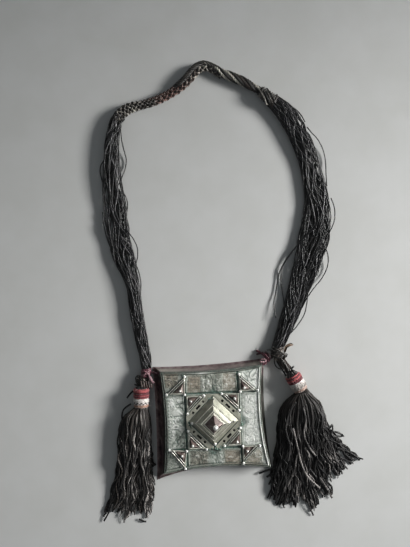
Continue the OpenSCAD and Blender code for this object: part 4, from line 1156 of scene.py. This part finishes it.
# The rim: a fine bead at the edge, a dark groove and a broader bead. The broad bead is painted lighter, most on
# the side facing the lamp and along a stretch of the top; the fine bead has a low tone, a little lighter facing
# the lamp; the groove beside the plate is painted darker as painted shade.
RIM_GROOVE, RIM_WIDTH, DEEPEST = 0.8, 2.1, -0.55
fine, broad = (height * np.sqrt(np.clip(1 - ((INLAND - middle) / half) ** 2, 0, 1))
               for height, middle, half in ((0.7, 0.3, 0.45), (0.88, 1.45, 0.65)))
inside, groove = INLAND > RIM_WIDTH, bell(INLAND - RIM_WIDTH - 0.2, 0.3)
RISE = np.where(inside, np.maximum(RISE, DEEPEST), np.maximum(fine, broad))
GRIME = np.clip(np.where(inside, GRIME, 0.0) + bell(INLAND - RIM_GROOVE, 0.2) + 0.3 * groove, 0, 1)
# Painted light on the broad bead: by the side facing the lamp, and a highlight along the top.
broad_bead_painted_light = 0.26 + 0.6 * FACING + 0.7 * (PY > 30) * bell(PX + 7, 6)
PAINTED_LIGHT_AND_WEAR = np.where(inside, PAINTED_LIGHT_AND_WEAR - 0.4 * groove, np.where(INLAND > RIM_GROOVE, broad_bead_painted_light, 0.2 + 0.1 * FACING))

# Holes under the holes of the pierced band, and notches in the rim for the corner triangles.
HOLE_HALF, SLOT_HALF, HOLE_EDGE = 1.3, 2.5, 0.4
# Name, place of the right angle, heading of the first leg, and leg.
TRIANGLES = [("corner_tl", -19.7, 20.0, 90.0, 14.2), ("corner_tr", 21.0, 22.4, 4.6, 13.6),
             ("corner_bl", -18.2, -21.3, 176.0, 13.6), ("corner_br", 22.9, -17.6, 272.4, 13.3),
             ("inner_tl", -18.8, 19.1, 273.2, 13.5), ("inner_tr", 20.1, 21.5, 181.6, 13.3),
             ("inner_bl", -17.3, -20.4, 0.6, 14.1), ("inner_br", 22.3, -17.0, 93.5, 13.2)]


def turned(x, y, degrees):
    """Coordinates in axes that are turned by so many degrees."""
    c, s = math.cos(math.radians(degrees)), math.sin(math.radians(degrees))
    return x * c + y * s, y * c - x * s


def band_sides(x, y):
    """Coordinates across and along each side of the pierced band."""
    for k in range(4):
        across, length = turned(x - BAND_AT[0], y - BAND_AT[1], 45 + BAND_TURN + 90 * k)
        yield np.abs(across - BAND_MID), length


HOLES = np.zeros(len(PX), bool)
for x, y in band_sides(PX, PY):
    for at, half in ((-PITCH, HOLE_HALF), (0, SLOT_HALF), (PITCH, HOLE_HALF)):
        HOLES |= (x < HOLE_HALF) & (np.abs(y - at) < half)
for _, x0, y0, degrees, leg in TRIANGLES[:4]:
    x, y = turned(PX - x0, PY - y0, degrees)
    cut = (x > -0.3) & (y > -0.3) & (x + y < leg + 0.5)
    for bx, by in ((leg - 0.5, 0.25), (0.25, leg - 0.5), (0.25, 0.25)):
        cut |= np.hypot(x - bx, y - by) < 1.4
    RISE, GRIME = np.where(cut, np.minimum(RISE, 0.0), RISE), np.where(cut, np.maximum(GRIME, 0.7), GRIME)
RISE = np.where(HOLES, PLATE_LOW + 0.05 - PLATE_TOP, RISE)

plate = Surface()
index = np.arange(len(PX)).reshape(CELLS + 1, CELLS + 1)
quads = np.stack([index[:-1, :-1], index[1:, :-1], index[1:, 1:], index[:-1, 1:]], 2).reshape(-1, 4)
around = np.concatenate([index[:, 0], index[-1, 1:], index[-2::-1, -1], index[0, -2:0:-1]])
rim = len(around)
points = np.concatenate([np.stack([PX, PY, PLATE_TOP + RISE], 1),
                         lifted(np.stack([PX, PY], 1)[around], PLATE_LOW), [[0, 0, PLATE_LOW]]])
low = len(PX) + np.arange(rim)
walls = np.stack([around, low, np.roll(low, -1), np.roll(around, -1)], 1).tolist()
base = [[int(low[(i + 1) % rim]), int(low[i]), len(PX) + rim] for i in range(rim)]
below = np.zeros(rim + 1)
# Quads in the holes take the near-black inside material, as painted shade.
plate.add(points, quads.tolist() + walls + base, HOLES[quads].any(axis=1).astype(int).tolist() + [0] * 2 * rim,
          np.concatenate([np.clip(PAINTED_LIGHT_AND_WEAR, 0, 1), below + 0.4]), np.concatenate([WARM, below]))
plate.make("front_plate_engraved", [PLATE, PAINTED_SHADE_INSIDE], "silver", "front_plate",
           grime=np.concatenate([GRIME, below]))

# The copper case: its walls curve out to a foot, as the CAD's walls flare.
CASE_BACK = [([-41.3, -46.9], 6.3), ([46.1, -37.8], 2.6), ([40.0, 45.8], 1.6), ([-44.8, 39.0], 1.2)]
CASE_H, COPPER_T, WALL_STEPS, FLARE = 10.0, 0.8, 56, 0.42


def inset(points, by):
    """A closed outline moved in, with mitred corners."""
    d = unit(np.roll(points, -1, axis=0) - points)
    normal = np.stack([-d[:, 1], d[:, 0]], 1)
    mitre = unit(normal + np.roll(normal, 1, axis=0))
    return points + mitre * (by / np.maximum(0.35, np.sum(mitre * normal, axis=1)))[:, None]


back, front = outline_of(CASE_BACK, WALL_STEPS), outline_of(FRONT, WALL_STEPS)
outer = [lifted(inset(back, by), 0.0) for by in (0.5, 0.06)]
outer += [lifted(back + (front - back) * q**FLARE, CASE_H * q) for q in np.linspace(0.012, 1, 24) ** 1.3]
outer += [lifted(inset(front, COPPER_T * s), CASE_H) for s in (0.5, 1.0)]
inner = [lifted(inset(back + (front - back) * q**FLARE, COPPER_T), CASE_H * q)
         for q in np.linspace(0.92, COPPER_T / CASE_H, 8)]
case, sides, rings = Surface(), 4 * WALL_STEPS, len(outer + inner)
last, hub = (rings - 1) * sides, rings * sides
fans = [[hub, (i + 1) % sides, i] for i in range(sides)]
fans += [[last + i, last + (i + 1) % sides, hub + 1] for i in range(sides)]
# The inner walls and floor take the near-black inside material, as painted shade.
slots = ([0] * (len(outer) - 1) + [1] * len(inner) + [0, 1])
case.add(np.concatenate([*outer, *inner, [[0, -1, 0], [0, -1, COPPER_T]]]), net(sides, rings) + fans,
         np.repeat(slots, sides).tolist())
case = case.make("case_copper", [COPPER, PAINTED_SHADE_INSIDE], "copper", "case")
drills = []
for u in (2, 12):
    a, middle, b = through(THONG_ROUTE, [u - 0.05, u, u + 0.05])
    drill = Surface()
    drill.sweep(middle + unit(b - a)[None] * np.linspace(-3, 3, 3)[:, None], 1.5, 1.5, 24)
    drills.append(drill.make("drill", [], "copper"))
    case.modifiers.new("hole", "BOOLEAN").object = drills[-1]
case.data = bpy.data.meshes.new_from_object(case.evaluated_get(bpy.context.evaluated_depsgraph_get()))
case.modifiers.clear()
for drill in drills:
    bpy.data.objects.remove(drill)
# Painted shade under the rim and on the right wall, which lies in the tassel's shadow, and painted light on the
# top wall, brighter near its ends.
x, y, z = np.array([v.co for v in case.data.vertices]).T / MM
top_wall = (y > 33) & (np.abs(x) < 42)
painted_light_along_x = np.interp(x, [-38, -28, 0, 22, 32, 40], [1, 0.8, 0.12, 0.3, 0.9, 0.7])
high_grime = (z - np.where(top_wall, 8.4, 4.6)) / np.where(top_wall, 1.0, 2.2)
write(case.data, grime=np.clip(np.maximum(high_grime, 0.8 * (x - 34) / 3 * ~top_wall), 0, 1),
      worn=top_wall * np.clip((z - 1.5) / 2.5, 0, 1) * painted_light_along_x)
bm = bmesh.new()
bm.from_mesh(case.data)
smoothed(bm, case.data, 35)


# Raised metalwork: the CAD's forms with softened edges.
def softened(node, name, materials, bevel, balls_from=None, bright_tops=False, grime_under=None,
             painted_shade_in=None):
    """A piece with the form of a CAD node, whose edges are bright from wear and painted highlights, and whose
    inner corners are dark.

    The materials are those of the faces, bright edges (and flat tops where bright_tops is set) with wear and
    painted highlights, inner corners, balls above a height, and places painted dark as shade."""
    bm = bmesh.new()
    bm.from_mesh(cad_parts[node].data)
    bmesh.ops.remove_doubles(bm, verts=bm.verts, dist=2e-6)
    bmesh.ops.dissolve_limit(bm, angle_limit=math.radians(1.0), verts=bm.verts, edges=bm.edges)
    bm.normal_update()
    sharp = [edge for edge in bm.edges if turns_by(edge, 28)]
    a, b = np.array([[v.co[:] for v in edge.verts] for edge in sharp] or [[UP, UP]]).swapaxes(0, 1)
    convex = [edge.is_convex for edge in sharp]
    if bevel:
        made = bmesh.ops.bevel(bm, geom=sharp, offset=bevel * MM, segments=2, profile=0.6, affect="EDGES",
                               clamp_overlap=True)
        for face in made["faces"]:
            c = np.array(face.calc_center_median()[:])
            t = np.clip(np.sum((c - a) * (b - a), axis=1) / np.sum((b - a) ** 2, axis=1), 0, 1)
            nearest = np.argmin(np.linalg.norm(c - a - t[:, None] * (b - a), axis=1))
            face.material_index = 1 if convex[nearest] else 2
    for face in bm.faces:
        x, y, z = np.array(face.calc_center_median()[:]) / MM
        # Flat tops facing up get the bright edge material, as painted light.
        if bright_tops and face.normal.z > 0.95 and face.material_index != 2:
            face.material_index = 1
        if balls_from and z > balls_from:
            face.material_index = 3
        # Faces at the band's holes get the near-black material, as painted shade.
        if painted_shade_in and abs(face.normal.z) < 0.95 and painted_shade_in(x, y):
            face.material_index = 4
    mesh = blank(name, materials)
    smoothed(bm, mesh, 30)
    z = np.array([v.co.z for v in mesh.vertices]) / MM
    share, under = grime_under or (0.0, 0.0)
    write(mesh, grime=share * (z < under), warmth=0 * z, tone=0 * z + 0.5)
    return placed(name, mesh, [node])


def by_hole(x, y):
    """Whether a point is at one of the band's holes."""
    return any(across < HOLE_HALF + HOLE_EDGE and abs(length) < PITCH + HOLE_HALF + HOLE_EDGE
               for across, length in band_sides(x, y))


def ball(surface, at, r, slot=0):
    around = np.linspace(0.08, math.pi - 0.08, 14)
    path = np.asarray(at, float) + UP * (-r * np.cos(around))[:, None]
    surface.sweep(path, r * np.sin(around), r * np.sin(around), 20, slot, 0.6)


METAL = [SILVER, EDGE_WEAR_AND_HIGHLIGHT, GAP, BALLS, PAINTED_SHADE_INSIDE]
softened("pierced_frame", "pierced_band", METAL, 0.1, grime_under=(0.8, 11.2), painted_shade_in=by_hole)
softened("stepped_pyramid", "pyramid_silver", METAL, 0.16, bright_tops=True, grime_under=(0.9, 11.1))
softened("copper_cap", "cap_copper", [CAP, ROSE, CAP], 0.14)
softened("cap_ball", "cap_ball_silver", [BALLS], 0)

# Solder on the pyramid: a ball on its left and bottom corners, and dark blobs on its top and right ridges.
solder = Surface()
for px, py, z, r, slot in ((192.1, 423.4, 13.0, 1.15, 0), (215.2, 444.0, 12.4, 1.1, 0),
                           (213.2, 399.4, 14.4, 0.75, 1), (233.6, 421.4, 14.6, 0.75, 1)):
    ball(solder, seen_at(px, py, z), r, slot)
solder.make("pyramid_solder", [BALLS, GAP], "silver", grime=np.zeros(solder.count))

# Verdigris in lumps at the corners of the pierced band.
verdigris = Finish("verdigris", Specular_IOR_Level=0.3, Roughness=0.75)
stops = (0.34, (46, 60, 54)), (0.52, (96, 120, 108)), (0.7, (150, 174, 162))
verdigris.set("Base Color", verdigris.ramp(verdigris.noise(0.9, 4, 0.65), *stops))
verdigris.relief(verdigris.noise(0.5, 3, 0.6), 0.5, 0.15)
crust = Surface()
band_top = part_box("pierced_frame")[1].z / MM
rng = np.random.default_rng(61)
for x0, y0, x1, y1, count in ((214.6, 447.6, 220, 449, 16), (219, 447.4, 225, 443.8, 14),
        (241.2, 423, 239.4, 428.6, 12), (188.2, 424.2, 191.4, 430.2, 12), (208, 398.6, 213.4, 396, 12)):
    for _ in range(count):
        t, aside, r = rng.random(), rng.normal(0, 1.0, 2), 0.3 + 0.75 * rng.random() ** 1.5
        px, py = x0 + (x1 - x0) * t + aside[0], y0 + (y1 - y0) * t + aside[1]
        ball(crust, seen_at(px, py, band_top - 0.78 * r), r)
crust.make("verdigris_lumps", [verdigris.material], "silver")

# The triangles: round bars along the legs, a dark strip with two bright ridges along the long side. The legs
# and ridges get a higher tone, as painted highlights.
RELIEF_Z, FRAME_H, RIDGE_H, BALL_R, BALL_IN = 10.85, 0.9, 0.5, 1.1, 0.25
BAR_HALF, LONG_STRIP, RIDGE_OFFS, RIDGE_W, RIDGE_END = 0.6, 2.7, (0.3, 1.7), 0.6, 2.4
for name, x0, y0, degrees, leg in TRIANGLES:
    piece = Surface()

    def there(points):
        """Points of the triangle's own frame, in the object's."""
        x, y, z = np.asarray(points, float).T
        x, y = turned(x, y, -degrees)
        return np.stack([x0 + x, y0 + y, RELIEF_Z + z], 1)

    for a, b in (((0.2, BAR_HALF), (leg - 0.9, BAR_HALF)), ((BAR_HALF, 0.2), (BAR_HALF, leg - 0.9))):
        bar = np.linspace([*a, FRAME_H * 0.45], [*b, FRAME_H * 0.45], 12)
        piece.sweep(there(bar), BAR_HALF * 0.85, FRAME_H * 0.55, 12, 0, 0.6, level=True, flat=0.75)
    diagonal, inward = np.array([-1, 1]) / math.sqrt(2), np.array([-1, -1]) / math.sqrt(2)
    # Near and far edge from the long side, height, distance from its ends, material, tone and flatness.
    spans = [(0.05, LONG_STRIP - 0.05, 0.5 * FRAME_H, 1.3 + LONG_STRIP - 0.05, 1, 0.4, 0.4)]
    spans += [(off, off + RIDGE_W, FRAME_H + RIDGE_H, RIDGE_END, 0, 0.75, 0.7) for off in RIDGE_OFFS]
    for near, away, top, stop, slot, tone, flat in spans:
        reach = leg / math.sqrt(2) - stop
        middle = leg / 2 + inward * (near + away) / 2
        line = lifted(middle + diagonal * np.linspace(-reach, reach, 14)[:, None], top / 2)
        piece.sweep(there(line), (away - near) / 2, top / 2, 12, slot, tone, level=True, flat=flat)
    spots = [[leg - 2 * BALL_IN, BALL_IN], [BALL_IN, leg - 2 * BALL_IN], [BALL_IN, BALL_IN]]
    for at in there(lifted(spots if name.startswith("corner") else spots[:2], BALL_R + 0.01)):
        ball(piece, at, BALL_R, 2)
    grime = np.clip(1.25 - (np.concatenate(piece.points)[:, 2] - RELIEF_Z) / 0.35, 0, 0.9)
    piece.make(name + "_frame", [SILVER, GAP, BALLS], "silver", "frame_" + name, grime=grime)
    softened("boss_" + name, name + "_boss", [ROSE, ROSE, COPPER, BALLS], 0.08, balls_from=14.0)

# Floor and light.
SKY, SKY_STRENGTH = (0.9, 0.96, 1.0, 1.0), 0.138
FLOOR_HALF, FLOOR_Z = 2.5, -0.0003
# Pale matt paper, which takes on the tone of the backdrop far from the object.
paper = Finish("floor", Roughness=0.85, Specular_IOR_Level=0.2, Emission_Color=SKY)
away = paper.node("VectorMath")
away.operation = "DISTANCE"
paper.links.new(paper.where, away.inputs[0])
away.inputs[1].default_value = (0, 0.145, 0)
fade = paper.math("POWER", paper.ranged(away.outputs["Value"], 0.42, 1.6), 1.3)
tones = paper.mix(paper.ranged(paper.noise(40, 3), 0.35, 0.65), (201, 202, 200), (206, 207, 206))
paper.set("Base Color", paper.mix(fade, tones, (0, 0, 0)))
paper.set("Emission Strength", paper.times(fade, SKY_STRENGTH))
floor_mesh = blank("floor", [paper.material])
corners = [(x * FLOOR_HALF, y * FLOOR_HALF, FLOOR_Z) for x, y in ((-1, -1), (1, -1), (1, 1), (-1, 1))]
floor_mesh.from_pydata(corners, [], [(0, 1, 2, 3)])
linked("floor", floor_mesh)


def softbox(name, at, size, power, colour=(1, 1, 1), aim=(0, 0.09, 0), spread_angle=180):
    lamp = bpy.data.lights.new(name, "AREA")
    lamp.spread = math.radians(spread_angle)
    lamp.shape, lamp.size, lamp.size_y, lamp.energy, lamp.color = "RECTANGLE", *size, power, colour
    light = linked(name, lamp)
    light.location = at
    light.rotation_euler = (Vector(aim) - Vector(at)).to_track_quat("-Z", "Y").to_euler()
    return light


softbox("window", (0.95, 0.28, 0.46), (0.4, 0.26), 2.12, (1.0, 0.99, 0.97), (-0.03, -0.03, 0), 57)
softbox("ceiling", (0.06, 0.2, 1.6), (0.9, 0.9), 3.0).visible_diffuse = False
softbox("corner window", (0.5, 0.62, 0.3), (0.45, 0.35), 1.4).visible_diffuse = False
world = bpy.data.worlds.new("world")
bpy.context.scene.world = world
world.use_nodes = True
sky = world.node_tree.nodes["Background"].inputs
sky["Color"].default_value, sky["Strength"].default_value = SKY, SKY_STRENGTH
bpy.context.scene.view_settings.view_transform = "Standard"
